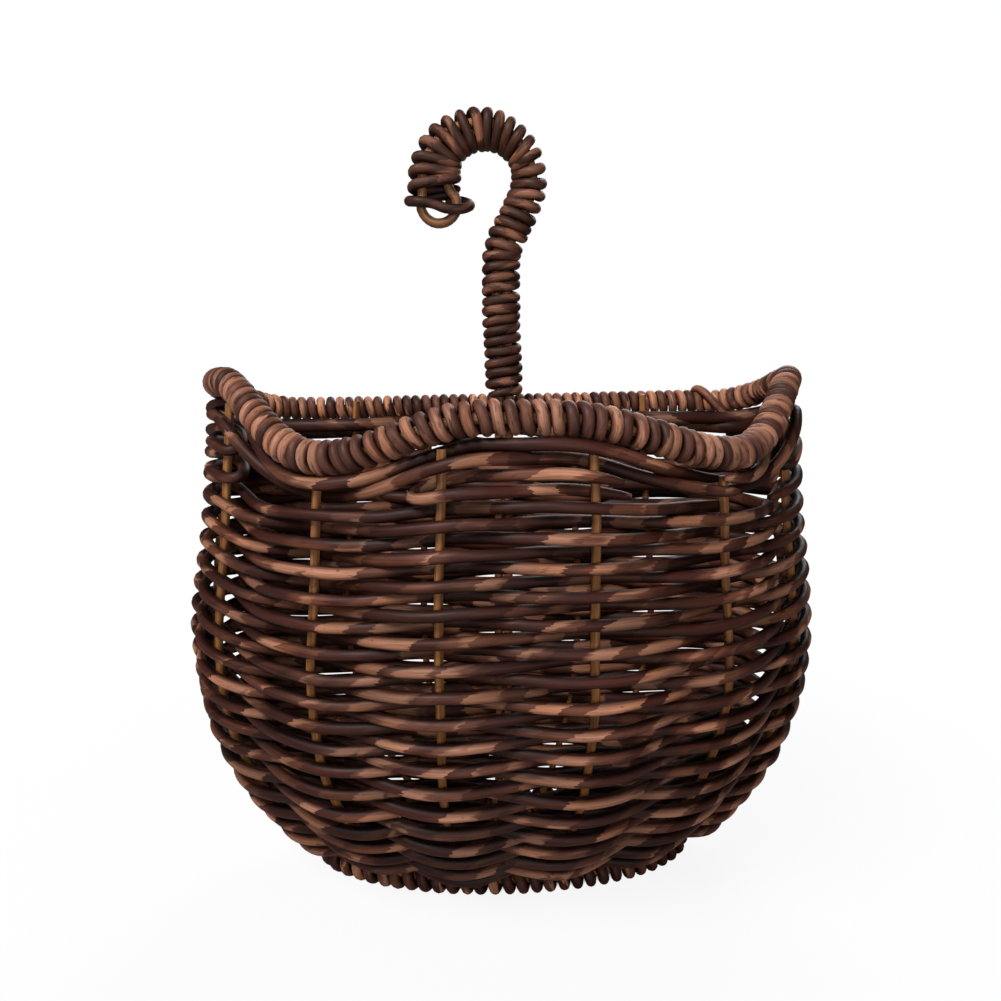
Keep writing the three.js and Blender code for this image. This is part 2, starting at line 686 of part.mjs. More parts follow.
// Rings for a short row. Its free ends lie past the first stake, its turn past the last one.
function fillRings({ start, turn, pass, startReach, turnReach, endReach }) {
  const step = Math.sign(turn - start);
  const sideAt = (j, p) => sideOf(j + TURNS + p - 1);
  const rings = [];
  const past = (j, p, offset, distance) => {
    const q = j + distance / STAKE_SPACING;
    const room = fillHeight(q, p, pass + 1);
    const z = Math.min(room, lastRowHeight(q) + p * upperPitch(q));
    const frame = wallFrame(stationOf(q), z);
    const center = wallPoint(stationOf(q), z).addScaledVector(frame.out, offset);
    rings.push({ center, up: frame.up });
  };
  const run = (from, to, direction, p) => {
    const countedAt = (q, j) => fillHeight(q, p, fillCount(j));
    const heightOf = (q) =>
      lerp(countedAt(q, Math.floor(q)), countedAt(q, Math.floor(q) + 1), mod(q, 1));
    for (let j = from; direction * (to - j) >= 0; j += direction) {
      const shifts = flatPast(j) ? [-direction * flatPast(j), direction * flatPast(j)] : [0];
      if (j === turn) shifts[p === pass ? 1 : 0] = 0;
      shifts.forEach((shift) => {
        rings.push(passRing(j, sideAt(j, p), heightOf(j + shift / STAKE_SPACING), shift));
      });
      if (j === to) continue;
      const low = Math.min(j, j + direction);
      const between = betweenRings(low, sideAt(low, p), heightOf, []);
      rings.push(...(direction > 0 ? between : between.reverse()));
    }
  };
  const fade = (reach) => 1 - (2 * reach) / STAKE_SPACING;
  const startOffset = sideAt(start, pass) * reachPast(start) * fade(startReach);
  past(start, pass, startOffset, -step * startReach);
  run(start, turn, step, pass);
  const turnSide = sideAt(turn, pass) * reachPast(turn);
  past(turn, pass + 0.1, turnSide * 0.8, step * turnReach * 0.7);
  past(turn, pass + 0.5, 0, step * turnReach);
  past(turn, pass + 0.9, -turnSide * 0.8, step * turnReach * 0.7);
  run(turn, start, -step, pass + 1);
  const endOffset = -sideAt(start, pass) * reachPast(start) * fade(endReach);
  past(start, pass + 1, endOffset, -step * endReach);
  return rings;
}

const fillers = {
  fill_row_crest: { start: 20, turn: 19, pass: 1, startReach: 14, turnReach: 12, endReach: 9 },
  fill_row_back: { start: 9, turn: 17, pass: 1, startReach: 24, turnReach: 13, endReach: 14 },
  fill_row_ear_right: { start: 10, turn: 9, pass: 3, startReach: 14, turnReach: 9, endReach: 9 },
  fill_row_ear_left: { start: 16, turn: 17, pass: 3, startReach: 14, turnReach: 9, endReach: 9 },
};
Object.entries(fillers).forEach(([name, filler]) => {
  add(name, strand(fillRings(filler), WEAVER, STRAND_SIDES), strandFinish);
});

// Rim: a cane ring over the wall, wound in three stretches
add("rim_core", ringCane(rimPoint, RIM_CORE, 56), coreFinish);
const RIM_CORNER_STATION = 1.12;
const rimStretches = [
  ["rim_wrap_left", -RIM_CORNER_STATION, 0, RIM_FRONT_LOOPS],
  ["rim_wrap_right", 0, RIM_CORNER_STATION, RIM_FRONT_LOOPS],
  ["rim_wrap_back", RIM_CORNER_STATION, ROUND - RIM_CORNER_STATION, RIM_BACK_LOOPS],
];
rimStretches.forEach(([name, from, to, loops]) => {
  addWinding(name, stretchFrames(rimPoint, from, to), loops, RIM_COIL, RIM_WRAP, strandFinish);
});

// Hook winding, from just over the back rim to short of the tip. Its turns are equally far
// apart on the inside of each bend, so they fan out on the outside.
const HOOK_WRAP_END = 2.55;
const hookWrapFoot = BACK_RIM_HEIGHT + RIM_OUTER + HOOK_WRAP / 2 + CLEARANCE;
const hookWrapStart = (hookWrapFoot - HOOK_FOOT) / (HOOK_CURL_HEIGHT - HOOK_FOOT);
const hookSides = [-1, 1].map((side) => (t) => {
  const { inward, spread } = hookLegs(t);
  return hookMiddle(t).addScaledVector(inward, side * (spread + HOOK_COIL));
});
const hookPlaceAt = evenPlaces(hookSides, hookWrapStart, HOOK_WRAP_END);
function hookFrames(share) {
  const t = hookPlaceAt(share);
  const { tangent, across, spread } = hookLegs(t);
  const depth = new THREE.Vector3().crossVectors(tangent, across).normalize();
  return { middle: hookMiddle(t), across, depth, widen: spread };
}
addWinding("hook_wrap", hookFrames, HOOK_LOOPS, HOOK_COIL, HOOK_WRAP, hookFinish);

export default basket;
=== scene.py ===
# Half-round wall basket of woven rattan. Metres, +Z up, the bulging front towards -Y.
import math

import bpy
import mathutils
import numpy as np
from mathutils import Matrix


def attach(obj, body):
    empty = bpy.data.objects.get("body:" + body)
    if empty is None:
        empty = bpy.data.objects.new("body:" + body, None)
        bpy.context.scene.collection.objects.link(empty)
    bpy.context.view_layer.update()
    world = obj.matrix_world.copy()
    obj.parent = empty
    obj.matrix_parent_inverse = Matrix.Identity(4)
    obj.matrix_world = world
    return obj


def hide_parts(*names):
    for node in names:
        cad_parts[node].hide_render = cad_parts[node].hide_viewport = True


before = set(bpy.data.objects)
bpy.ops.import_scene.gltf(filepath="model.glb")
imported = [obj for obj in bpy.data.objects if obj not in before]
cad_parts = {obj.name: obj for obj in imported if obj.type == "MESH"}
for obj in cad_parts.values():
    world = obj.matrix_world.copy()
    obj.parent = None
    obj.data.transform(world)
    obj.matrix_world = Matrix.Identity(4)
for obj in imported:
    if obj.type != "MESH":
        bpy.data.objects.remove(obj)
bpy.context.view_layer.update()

# Base ring. A round cane bent to the basket's half-round outline, its ends lapped together.
# Its path sets out the wall, so the wall's measures are here, in millimetres.
MM = 0.001
BASKET_SHIFT = 34.177
BASE_CANE = 4.2
BASE_HEIGHT = 5.87

# Levels of the wall: height, half width and front depth. Those between are set as shares of
# the way from one to the next.
BASE, BELLY, TOP = np.array([(5, 85.6, 32.7), (130, 137, 105.5), (232, 125, 101.5)])
BASE_TO_BELLY = [(0.264, 0.52, 0.407), (0.52, 0.844, 0.705), (0.76, 0.988, 0.897)]
BELLY_TO_TOP = [(0.49, 0.583, -0.125)]
level_height, level_side, level_front = np.vstack([
    BASE, BASE + (BELLY - BASE) * BASE_TO_BELLY, BELLY, BELLY + (TOP - BELLY) * BELLY_TO_TOP, TOP,
]).T
BACK_DEPTH = 30
CORNER_RADIUS = 32

# At the back the wall leans in under the rim.
BACK_RIM_HEIGHT = 221.5
RIM_OUTER = 6.55
LEAN_TOP = BACK_RIM_HEIGHT - RIM_OUTER
LEAN_HEIGHT = 20
BACK_LEAN = 3.6

# Stations go once round the wall from -2 to 2: 0 is the middle of the front, 1 the widest
# point, 1 to 1.5 the back corner, and 1.5 to 2 the flat back. The hook stands at -2.
ROUND = 4
CORNER_END = 1.5


def eased(value, start, end):
    """A smooth step: 0 until the value reaches the start, and 1 past the end."""
    f = np.clip((value - start) / (end - start), 0, 1)
    return (1 - np.cos(np.pi * f)) / 2


def along_levels(z, values):
    """A smooth curve through the wall's levels, which runs on straight above the top."""
    order = np.arange(len(values))
    below, above = np.maximum(order - 1, 0), np.minimum(order + 1, len(values) - 1)
    slope = (values[above] - values[below]) / (level_height[above] - level_height[below])
    k = np.clip(np.searchsorted(level_height, z) - 1, 0, len(values) - 2)
    span = level_height[k + 1] - level_height[k]
    f = (z - level_height[k]) / span
    bend = f * f * (3 - 2 * f)
    pull = slope[k] * f * (1 - f) ** 2 - slope[k + 1] * f * f * (1 - f)
    inside = values[k] + (values[k + 1] - values[k]) * bend + span * pull
    return np.where(f > 1, values[-1] + (z - level_height[-1]) * slope[-1], inside)


def folded(station):
    """The same place as a station from -2 to 2."""
    return np.mod(station + ROUND / 2, ROUND) - ROUND / 2


def outline(station, half_width, front, back):
    """The half-round plan: an ellipse in front, a rounded corner and a straight back."""
    s = folded(station)
    w, side = np.abs(s), np.where(s < 0, -1, 1)
    turn, corner = w * np.pi / 2, (w - 1) * np.pi
    corner_x = half_width - CORNER_RADIUS * (1 - np.cos(corner))
    back_x = (half_width - CORNER_RADIUS) * (2 - w) / (2 - CORNER_END)
    x = np.where(w <= 1, half_width * np.sin(turn), corner_x)
    y = np.where(w <= 1, -front * np.cos(turn), back * np.sin(corner))
    flat = w > CORNER_END
    return side * np.where(flat, back_x, x), np.where(flat, back, y)


def backness(station):
    """How far a station belongs to the back: 0 at the widest point, 1 along the flat back."""
    return eased(np.abs(folded(station)), 1, CORNER_END)


def wall_point(station, z):
    """A point of the wall's middle surface, where the stakes stand."""
    station, z = np.broadcast_arrays(np.asarray(station, float), np.asarray(z, float))
    x, y = outline(station, along_levels(z, level_side), along_levels(z, level_front), BACK_DEPTH)
    lean = eased(z, LEAN_TOP - LEAN_HEIGHT, LEAN_TOP)
    return np.stack([x, y + BASKET_SHIFT - BACK_LEAN * backness(station) * lean, z], -1)


def unit(v):
    return v / np.linalg.norm(v, axis=-1, keepdims=True)


def wall_frame(station, z, step=0.002, lift=0.2):
    """Directions on the wall: along a row, up a stake and outward."""
    along = unit(wall_point(station + step, z) - wall_point(station - step, z))
    out = unit(np.cross(along, wall_point(station, z + lift) - wall_point(station, z - lift)))
    return along, unit(np.cross(out, along)), out


def placed(name, data):
    """A new object in the scene."""
    made = bpy.data.objects.new(name, data)
    bpy.context.scene.collection.objects.link(made)
    return made


def socket(sockets, key):
    """A socket by its place or by its identifier."""
    return sockets[key] if isinstance(key, int) else next(s for s in sockets if s.identifier == key)


def put(tree, kind, values, out=0, **settings):
    """Adds a node, fills or links its inputs and returns one of its outputs."""
    node = tree.nodes.new(kind)
    for name, value in settings.items():
        setattr(node, name, value)
    for key, value in values.items():
        target = socket(node.inputs, key)
        if isinstance(value, bpy.types.NodeSocket):
            tree.links.new(value, target)
        else:
            target.default_value = value
    return socket(node.outputs, out)


def maths(tree, operation, a, b=0.0):
    return put(tree, "ShaderNodeMath", {0: a, 1: b}, operation=operation)


def product(tree, first, *others):
    for other in others:
        first = maths(tree, "MULTIPLY", first, other)
    return first


def vectors(tree, operation, a, b=(0, 0, 0)):
    """Maths on a vector and a second one, or the number that scales it."""
    second = "Scale" if operation == "SCALE" else 1
    out = "Value" if operation in ("DOT_PRODUCT", "LENGTH") else 0
    return put(tree, "ShaderNodeVectorMath", {0: a, second: b}, out, operation=operation)


def joined(tree, x, y=0.0, z=0.0):
    return put(tree, "ShaderNodeCombineXYZ", {0: x, 1: y, 2: z})


def parts_of(tree, vector):
    return put(tree, "ShaderNodeSeparateXYZ", {0: vector}).node.outputs


def noise(tree, vector, scale, detail=1.0, out="Fac", w=None, roughness=0.5):
    values = {"Vector": vector, "Scale": scale, "Detail": detail, "Roughness": roughness}
    if w is None:
        return put(tree, "ShaderNodeTexNoise", values, out)
    values["W"] = w
    return put(tree, "ShaderNodeTexNoise", values, out, noise_dimensions="4D")


def kept(tree, name, kind="FLOAT"):
    """The value that points keep under a name."""
    return put(tree, "GeometryNodeInputNamedAttribute", {"Name": name}, data_type=kind)


def keep(tree, geometry, name, value, kind="FLOAT"):
    """Keeps a value on a geometry's points, under a name."""
    return put(tree, "GeometryNodeStoreNamedAttribute",
               {"Geometry": geometry, "Name": name, "Value": value}, data_type=kind)


def new_tree(name, sockets):
    """An empty geometry tree, and its inputs by name."""
    tree = bpy.data.node_groups.new(name, "GeometryNodeTree")
    add = tree.interface.new_socket
    for label, kind, start in sockets:
        item = add(name=label, in_out="INPUT", socket_type="NodeSocket" + kind)
        if start is not None:
            item.default_value = start
    add(name="Geometry", in_out="OUTPUT", socket_type="NodeSocketGeometry")
    given = tree.nodes.new("NodeGroupInput")
    return tree, {s.name: s for s in given.outputs if s.name}


def end_tree(tree, geometry):
    end = tree.nodes.new("NodeGroupOutput")
    tree.links.new(geometry, end.inputs[0])


# A strand's unevenness, in waves per metre: all strands of a place wander together, and each
# quivers and swells by itself. The noise strays a quarter from its middle, hence the spread.
# Part of the painted light on a strand's crown is even all round, and the rest is on the side
# that faces out; where the surface turns aside, between strands, the mask gives painted shade.
WANDER_WAVES = 17.0
QUIVER_WAVES = 60.0
SWELL_WAVES = 22.0
NOISE_SPREAD = 4.0
SEED_STEP = 7.31
EVEN_PAINTED_LIGHT = 0.62


def strand_tree():
    """A round strand swept along a path. It keeps where each spot lies on the straight strand,
    and a mask of painted light and shade: light on the crown turned to the side that the path
    faces."""
    tree, given = new_tree("round_strand", [
        ("Path", "Geometry", None), ("Diameter", "Float", 0.004), ("Swell", "Float", 0.06),
        ("Wander", "Float", 0.0), ("Quiver", "Float", 0.0004), ("Step", "Float", 0.003),
        ("Sides", "Int", 12), ("Seed", "Int", 1), ("Material", "Material", None),
    ])
    curve = put(tree, "GeometryNodeMeshToCurve", {"Mesh": given["Path"]})
    curve = put(tree, "GeometryNodeResampleCurve", {"Curve": curve, "Length": given["Step"]},
                mode="LENGTH")
    place = put(tree, "GeometryNodeInputPosition", {})
    seed = product(tree, given["Seed"], SEED_STEP)
    for waves, amount, own in [(WANDER_WAVES, given["Wander"], None),
                               (QUIVER_WAVES, given["Quiver"], seed)]:
        stray = noise(tree, place, waves, 1.0, "Color", own)
        stray = vectors(tree, "SCALE", vectors(tree, "SUBTRACT", stray, (0.5, 0.5, 0.5)), amount)
        curve = put(tree, "GeometryNodeSetPosition", {"Geometry": curve, "Offset": stray})
    along = maths(tree, "ADD", put(tree, "GeometryNodeSplineParameter", {}, "Length"), seed)
    swell = maths(tree, "SUBTRACT", noise(tree, joined(tree, along), SWELL_WAVES, 2.0), 0.5)
    swell = product(tree, swell, given["Swell"], NOISE_SPREAD)
    radius = product(tree, given["Diameter"], 0.5, maths(tree, "ADD", swell, 1.0),
                     kept(tree, "thickness"))
    curve = keep(tree, keep(tree, curve, "along", along), "girth", radius)
    ring = put(tree, "GeometryNodeCurvePrimitiveCircle",
               {"Resolution": given["Sides"], "Radius": 1.0}, "Curve")
    ring = keep(tree, ring, "round", place, "FLOAT_VECTOR")
    girth = kept(tree, "girth")
    mesh = put(tree, "GeometryNodeCurveToMesh",
               {"Curve": curve, "Profile Curve": ring, "Scale": girth, "Fill Caps": True})
    spot = parts_of(tree, vectors(tree, "SCALE", kept(tree, "round", "FLOAT_VECTOR"), girth))
    straight = joined(tree, kept(tree, "along"), spot[0], spot[1])
    mesh = keep(tree, mesh, "straight", straight, "FLOAT_VECTOR")
    # Painted light and shade: the mask is high where the surface faces the kept direction, low
    # where it turns aside between strands.
    turned = vectors(tree, "DOT_PRODUCT", put(tree, "GeometryNodeInputNormal", {}),
                     kept(tree, "facing", "FLOAT_VECTOR"))
    painted_light = product(tree, kept(tree, "nearer"), maths(tree, "SIGN", turned), 1 - EVEN_PAINTED_LIGHT)
    painted_light = product(tree, maths(tree, "ABSOLUTE", turned), maths(tree, "ADD", painted_light, EVEN_PAINTED_LIGHT))
    mesh = keep(tree, mesh, "painted_light_mask", painted_light)
    mesh = put(tree, "GeometryNodeSetShadeSmooth", {"Geometry": mesh})
    mesh = put(tree, "GeometryNodeRealizeInstances", {"Geometry": mesh})
    mesh = put(tree, "GeometryNodeSetMaterial", {"Geometry": mesh, "Material": given["Material"]})
    end_tree(tree, mesh)
    return tree


round_strand = strand_tree()


def path_mesh(name, points, closed=False, **values):
    """A path as a mesh of edges, from points in millimetres, with values along it."""
    count = len(points)
    edges = [(i, i + 1) for i in range(count - 1)] + ([(count - 1, 0)] if closed else [])
    mesh = bpy.data.meshes.new(name)
    mesh.from_pydata((np.asarray(points) * MM).tolist(), edges, [])
    values.setdefault("thickness", np.ones(count))
    for key, value in values.items():
        value = np.asarray(value, np.float32)
        kind, part = ("FLOAT_VECTOR", "vector") if value.ndim == 2 else ("FLOAT", "value")
        mesh.attributes.new(key, kind, "POINT").data.foreach_set(part, value.ravel())
    return mesh


# Values that a piece needs only while it is made
WORKING_VALUES = ("along", "girth", "round", "thickness", "across", "depth", "widen", "share",
                  "slim", "facing", "nearer")


def made_by(tree, name, path, material, slot, diameter, seed, in_frame=True, **sizes):
    """Runs a tree on a path and keeps the result as a plain piece of the basket, which
    replaces the frame's piece of that name if it is in the frame."""
    maker = placed(name + "_path", path)
    modifier = maker.modifiers.new("make", "NODES")
    modifier.node_group = tree
    sizes.update(Material=material, Diameter=diameter * MM, Seed=seed)
    for item in tree.interface.items_tree:
        if item.in_out == "INPUT" and item.name in sizes:
            modifier[item.identifier] = sizes.pop(item.name)
    assert not sizes, sizes
    evaluated = maker.evaluated_get(bpy.context.evaluated_depsgraph_get())
    mesh = bpy.data.meshes.new_from_object(evaluated)
    mesh.name = name
    for spare in WORKING_VALUES:
        if spare in mesh.attributes:
            mesh.attributes.remove(mesh.attributes[spare])
    bpy.data.objects.remove(maker)
    piece = placed(name, mesh)
    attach(piece, "root")
    if in_frame:
        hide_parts(name)


def mixed(tree, factor, a, b, blend="MIX"):
    return put(tree, "ShaderNodeMix", {"Factor_Float": factor, "A_Color": a, "B_Color": b},
               "Result_Color", data_type="RGBA", blend_type=blend)


def ranged(tree, value, low, high, to_low=0.0, to_high=1.0, curve="LINEAR"):
    return put(tree, "ShaderNodeMapRange",
               {0: value, 1: low, 2: high, 3: to_low, 4: to_high}, interpolation_type=curve)


def grey(tree, value):
    return put(tree, "ShaderNodeCombineColor", {0: value, 1: value, 2: value})


def grained(tree, straight, waves, detail=1.0, roughness=0.5):
    """Noise on the straight strand, with its waves per metre along and across it."""
    spot = vectors(tree, "MULTIPLY", straight, (waves[0], waves[1], waves[1]))
    return noise(tree, spot, 1.0, detail, roughness=roughness)


# Surface of every strand and cane: waves per metre, along it and across it, and the tints of the
# painted shade between the strands and of the painted light on their crowns
FIBRES = (60, 1500)
DULL_SPOTS = (120, 420)
RELIEF_HEIGHT = 0.0002
RELIEF_STRENGTH = 0.35
PAINTED_SHADE_TINT = (0.16, 0.09, 0.07, 1)
PAINTED_CROWN_LIGHT = (1.27, 1.22, 1.22, 1)
PAINTED_LIGHT_RANGE = (0.08, 0.85)
GRAIN = 0.38


def finish(name, color_of, roughness, grain=GRAIN, specular=0.5, painted_shade=False):
    """A rattan or cane finish: lengthwise grain, with roughness and relief from it. With painted
    shade, the crowns get painted light and the sides between the strands painted shade."""
    material = bpy.data.materials.new(name)
    material.use_nodes = True
    tree = material.node_tree
    shader = tree.nodes["Principled BSDF"]
    straight = put(tree, "ShaderNodeAttribute", {}, "Vector", attribute_name="straight")
    fibres = grained(tree, straight, FIBRES, 3.0, roughness=0.62)
    tint = grey(tree, ranged(tree, fibres, 0.28, 0.72, 1 - grain, 1 + grain * 0.8))
    if painted_shade:
        # Painted light and shade: the mask pales the crowns and darkens the sides between the
        # strands, where shade falls.
        painted_light_mask = put(tree, "ShaderNodeAttribute", {}, "Fac", attribute_name="painted_light_mask")
        shade_and_light = mixed(tree, ranged(tree, painted_light_mask, *PAINTED_LIGHT_RANGE), PAINTED_SHADE_TINT, PAINTED_CROWN_LIGHT)
        tint = mixed(tree, 1.0, tint, shade_and_light, "MULTIPLY")
    color = mixed(tree, 1.0, color_of(tree, straight), tint, "MULTIPLY")
    tree.links.new(color, shader.inputs["Base Color"])
    dull = grained(tree, straight, DULL_SPOTS, 2.0)
    tree.links.new(ranged(tree, dull, 0.3, 0.7, *roughness), shader.inputs["Roughness"])
    shader.inputs["Specular IOR Level"].default_value = specular
    relief = put(tree, "ShaderNodeBump", {"Strength": RELIEF_STRENGTH, "Distance": RELIEF_HEIGHT,
                                          "Height": fibres}, "Normal")
    tree.links.new(relief, shader.inputs["Normal"])
    return material


# Peeled cane: waves per metre of its streaks and blotches, and its leaf rings per metre
PEELED_STREAKS = (30, 620)
BLOTCHES = (75, 160)
LEAF_RINGS = 11.0
RING_WIDTH = 0.012


def peeled_color(pale, deep, ring):
    """Peeled cane: pale and deep streaks, with a dark ring where a leaf once sat."""
    def color_of(tree, straight):
        streaks = grained(tree, straight, PEELED_STREAKS, 2.5)
        color = mixed(tree, ranged(tree, streaks, 0.35, 0.68), deep, pale)
        blotch = grained(tree, straight, BLOTCHES, 2.0)
        color = mixed(tree, ranged(tree, blotch, 0.52, 0.75, 0, 0.55), color, ring)
        along = product(tree, parts_of(tree, straight)[0], LEAF_RINGS)
        warped = maths(tree, "ADD", along, product(tree, blotch, 0.5))
        near = maths(tree, "ABSOLUTE", maths(tree, "SUBTRACT", maths(tree, "FRACT", warped), 0.5))
        return mixed(tree, ranged(tree, near, RING_WIDTH, 0.0, 0, 0.7), color, ring)
    return color_of


CANE_PALE = (0.36, 0.160, 0.066, 1)
CANE_DEEP = (0.19, 0.075, 0.030, 1)
CANE_RING = (0.06, 0.024, 0.013, 1)
cane_finish = finish("cane", peeled_color(CANE_PALE, CANE_DEEP, CANE_RING), (0.42, 0.56),
                     specular=0.35)
base_stations = np.linspace(-2, 2, 240, endpoint=False)
base_path = path_mesh("base_core", wall_point(base_stations, BASE_HEIGHT), closed=True)
made_by(round_strand, "base_core", base_path, cane_finish, "cane", BASE_CANE, 3, Step=0.004)

# Base winding. A strand of unpeeled rattan wound round the base ring, one turn beside the
# next, and tucked in where it ends. The basket stands on it.
BASE_STRAND = 5.2
BASE_COIL = 3.75
BASE_PITCH = 6.4
BASE_WRAP_OUT = 1.2
BASE_WRAP_UP = 0.6

# Unevenness of the turns of every winding, how flat they lie over a core of two legs, and the
# turns over which an end is shaved
TURN_WAVES = 1.7
TURN_SEED_STEP = 3.17
LEGS_FLATNESS = 1.6
WINDING_QUIVER = 0.0003
SHAVED_TURNS = 0.35


def winding_tree():
    """A strand wound round a core. The path gives the core's middle and its two directions."""
    tree, given = new_tree("winding", [
        ("Path", "Geometry", None), ("Turns", "Float", 20.0), ("Turn Steps", "Int", 20),
        ("Start", "Float", 0.0), ("Coil", "Float", 0.004), ("Lean", "Float", 0.0006),
        ("Diameter", "Float", 0.004), ("Swell", "Float", 0.05), ("Step", "Float", 0.0014),
        ("Sides", "Int", 12), ("Seed", "Int", 1), ("Material", "Material", None),
    ])
    curve = put(tree, "GeometryNodeMeshToCurve", {"Mesh": given["Path"]})
    count = product(tree, given["Turns"], given["Turn Steps"])
    curve = put(tree, "GeometryNodeResampleCurve", {"Curve": curve, "Count": count}, mode="COUNT")
    turn = product(tree, kept(tree, "share"), given["Turns"])
    angle = maths(tree, "ADD", product(tree, turn, 2 * math.pi), given["Start"])
    cosine, sine = maths(tree, "COSINE", angle), maths(tree, "SINE", angle)
    seed = product(tree, given["Seed"], TURN_SEED_STEP)
    uneven = noise(tree, joined(tree, turn, seed), TURN_WAVES, 2.0, "Color")
    lean, swing, reach = [product(tree, maths(tree, "SUBTRACT", part, 0.5), given["Lean"])
                          for part in parts_of(tree, uneven)]
    swing = product(tree, swing, cosine, NOISE_SPREAD)
    onward = maths(tree, "ADD", product(tree, lean, NOISE_SPREAD / 2), swing)
    coil = maths(tree, "ADD", product(tree, given["Coil"], kept(tree, "slim")), reach)
    legs = put(tree, "ShaderNodeClamp", {"Value": product(tree, cosine, LEGS_FLATNESS),
                                         "Min": -1.0, "Max": 1.0})
    sideways = maths(tree, "ADD", product(tree, coil, cosine),
                     product(tree, kept(tree, "widen"), legs))
    upright = product(tree, coil, sine)

    def beside(x, y):
        across, depth = [kept(tree, name, "FLOAT_VECTOR") for name in ("across", "depth")]
        return vectors(tree, "ADD", vectors(tree, "SCALE", across, x),
                       vectors(tree, "SCALE", depth, y))

    tangent = put(tree, "GeometryNodeInputTangent", {})
    move = vectors(tree, "ADD", beside(sideways, upright), vectors(tree, "SCALE", tangent, onward))
    # Painted light: each turn is lit on its side away from the core, with painted shade between the
    # turns.
    curve = keep(tree, curve, "facing", beside(cosine, sine), "FLOAT_VECTOR")
    curve = keep(tree, curve, "nearer", 1.0)
    curve = put(tree, "GeometryNodeSetPosition", {"Geometry": curve, "Offset": move})
    coiled = put(tree, "GeometryNodeCurveToMesh", {"Curve": curve})
    sweep = tree.nodes.new("GeometryNodeGroup")
    sweep.node_tree = round_strand
    sweep.inputs["Quiver"].default_value = WINDING_QUIVER
    tree.links.new(coiled, sweep.inputs["Path"])
    for label in ("Diameter", "Swell", "Step", "Sides", "Seed", "Material"):
        tree.links.new(given[label], sweep.inputs[label])
    end_tree(tree, sweep.outputs[0])
    return tree


winding = winding_tree()


def path_frames(points):
    """Directions beside a path: across it level, and the one square to both."""
    tangent = unit(np.gradient(points, axis=0))
    across = unit(np.cross(tangent, (0, 0, 1)))
    return across, unit(np.cross(tangent, across))


def tapered(from_end, least):
    """The thickness of a shaved end, from its least to full where from_end reaches 1."""
    return least + (1 - least) * np.sqrt(np.clip(from_end, 0, 1))


def wound(name, points, material, slot, pitch, coil, diameter, seed, slim=1.0, frames=None,
          widen=0.0, **more):
    """Winds a strand round a path of points in millimetres. Pitch, slimness and widening may
    change along it, and its ends are shaved."""
    count = len(points)
    across, depth = frames or path_frames(points)
    steps = np.linalg.norm(np.diff(points, axis=0), axis=1)
    pitch = np.broadcast_to(np.asarray(pitch, float), count)
    turns = np.concatenate([[0], np.cumsum(steps / (pitch[1:] + pitch[:-1]) * 2)])
    slim = np.broadcast_to(slim, count)
    thickness = slim * tapered(np.minimum(turns, turns[-1] - turns) / SHAVED_TURNS, 0.4)
    path = path_mesh(name, points, across=across, depth=depth, share=turns / turns[-1],
                     widen=np.broadcast_to(widen, count) * MM, slim=slim, thickness=thickness)
    made_by(winding, name, path, material, slot, diameter, seed, Turns=float(round(turns[-1])),
            Coil=coil * MM, **more)


# Unpeeled rattan: waves per metre of its marks, along a strand and across it
RAGGED_TIPS = (70, 1300)
SKIN_STREAKS = (45, 620)
TONES = (14, 150)
HUES = (23, 90)
SPECKS = (380, 900)
FIELD_CROSSWISE = 45
SKIN_SLANT = (1.8, 1.1)
TIP_RAGGEDNESS = 0.006
WARM_TINT = (1.10, 1.0, 0.86, 1)
SPECK_COLOR = (0.03, 0.016, 0.012, 1)


def skin_color(tan, dark, mid, patch=46, share=0.53, specks=0.69):
    """Unpeeled rattan: dark, brown and tan stretches, of which some fade into the next and
    others meet it in a slanting, feathered tip. A higher patch makes them shorter, a higher
    share makes fewer of them tan, and a higher value for specks leaves fewer specks."""
    def color_of(tree, straight):
        place = vectors(tree, "DOT_PRODUCT", straight, (1.0, *SKIN_SLANT))
        ragged = grained(tree, straight, RAGGED_TIPS, 2.0)
        place = maths(tree, "ADD", place, product(tree, ragged, TIP_RAGGEDNESS))
        _, y, z = parts_of(tree, straight)
        field = joined(tree, product(tree, place, patch * 0.8),
                       product(tree, y, FIELD_CROSSWISE), product(tree, z, FIELD_CROSSWISE))
        tanned = product(tree, noise(tree, field, 1.0), 0.7)
        pieces = put(tree, "ShaderNodeTexVoronoi", {"W": product(tree, place, patch * 0.42)},
                     "Color", voronoi_dimensions="1D")
        piece = parts_of(tree, pieces)[0]
        tanned = maths(tree, "ADD", tanned, ranged(tree, piece, 0, 1, 0.025, 0.275))
        streaks = grained(tree, straight, SKIN_STREAKS)
        tanned = maths(tree, "ADD", tanned, ranged(tree, streaks, 0, 1, -0.045, 0.045))
        color = mixed(tree, ranged(tree, tanned, share - 0.09, share + 0.01, curve="SMOOTHSTEP"),
                      dark, mid)
        color = mixed(tree, ranged(tree, tanned, share + 0.02, share + 0.055,
                                   curve="SMOOTHSTEP"), color, tan)
        tone = ranged(tree, grained(tree, straight, TONES, 1.5), 0.3, 0.7, 0.60, 1.35)
        color = mixed(tree, 1.0, color, grey(tree, tone), "MULTIPLY")
        hue = ranged(tree, grained(tree, straight, HUES), 0.42, 0.66)
        color = mixed(tree, hue, color, WARM_TINT, "MULTIPLY")
        spots = grained(tree, straight, SPECKS)
        return mixed(tree, ranged(tree, spots, specks, specks + 0.09, 0.0, 0.6), color,
                     SPECK_COLOR)
    return color_of


def skin_finish(name, tan, dark, mid, grain=GRAIN, **marks):
    """The finish of a strand of unpeeled rattan, with painted shade between the strands and painted
    light on their crowns.
    """
    return finish(name, skin_color(tan, dark, mid, **marks), (0.44, 0.58), grain,
                  specular=0.2, painted_shade=True)


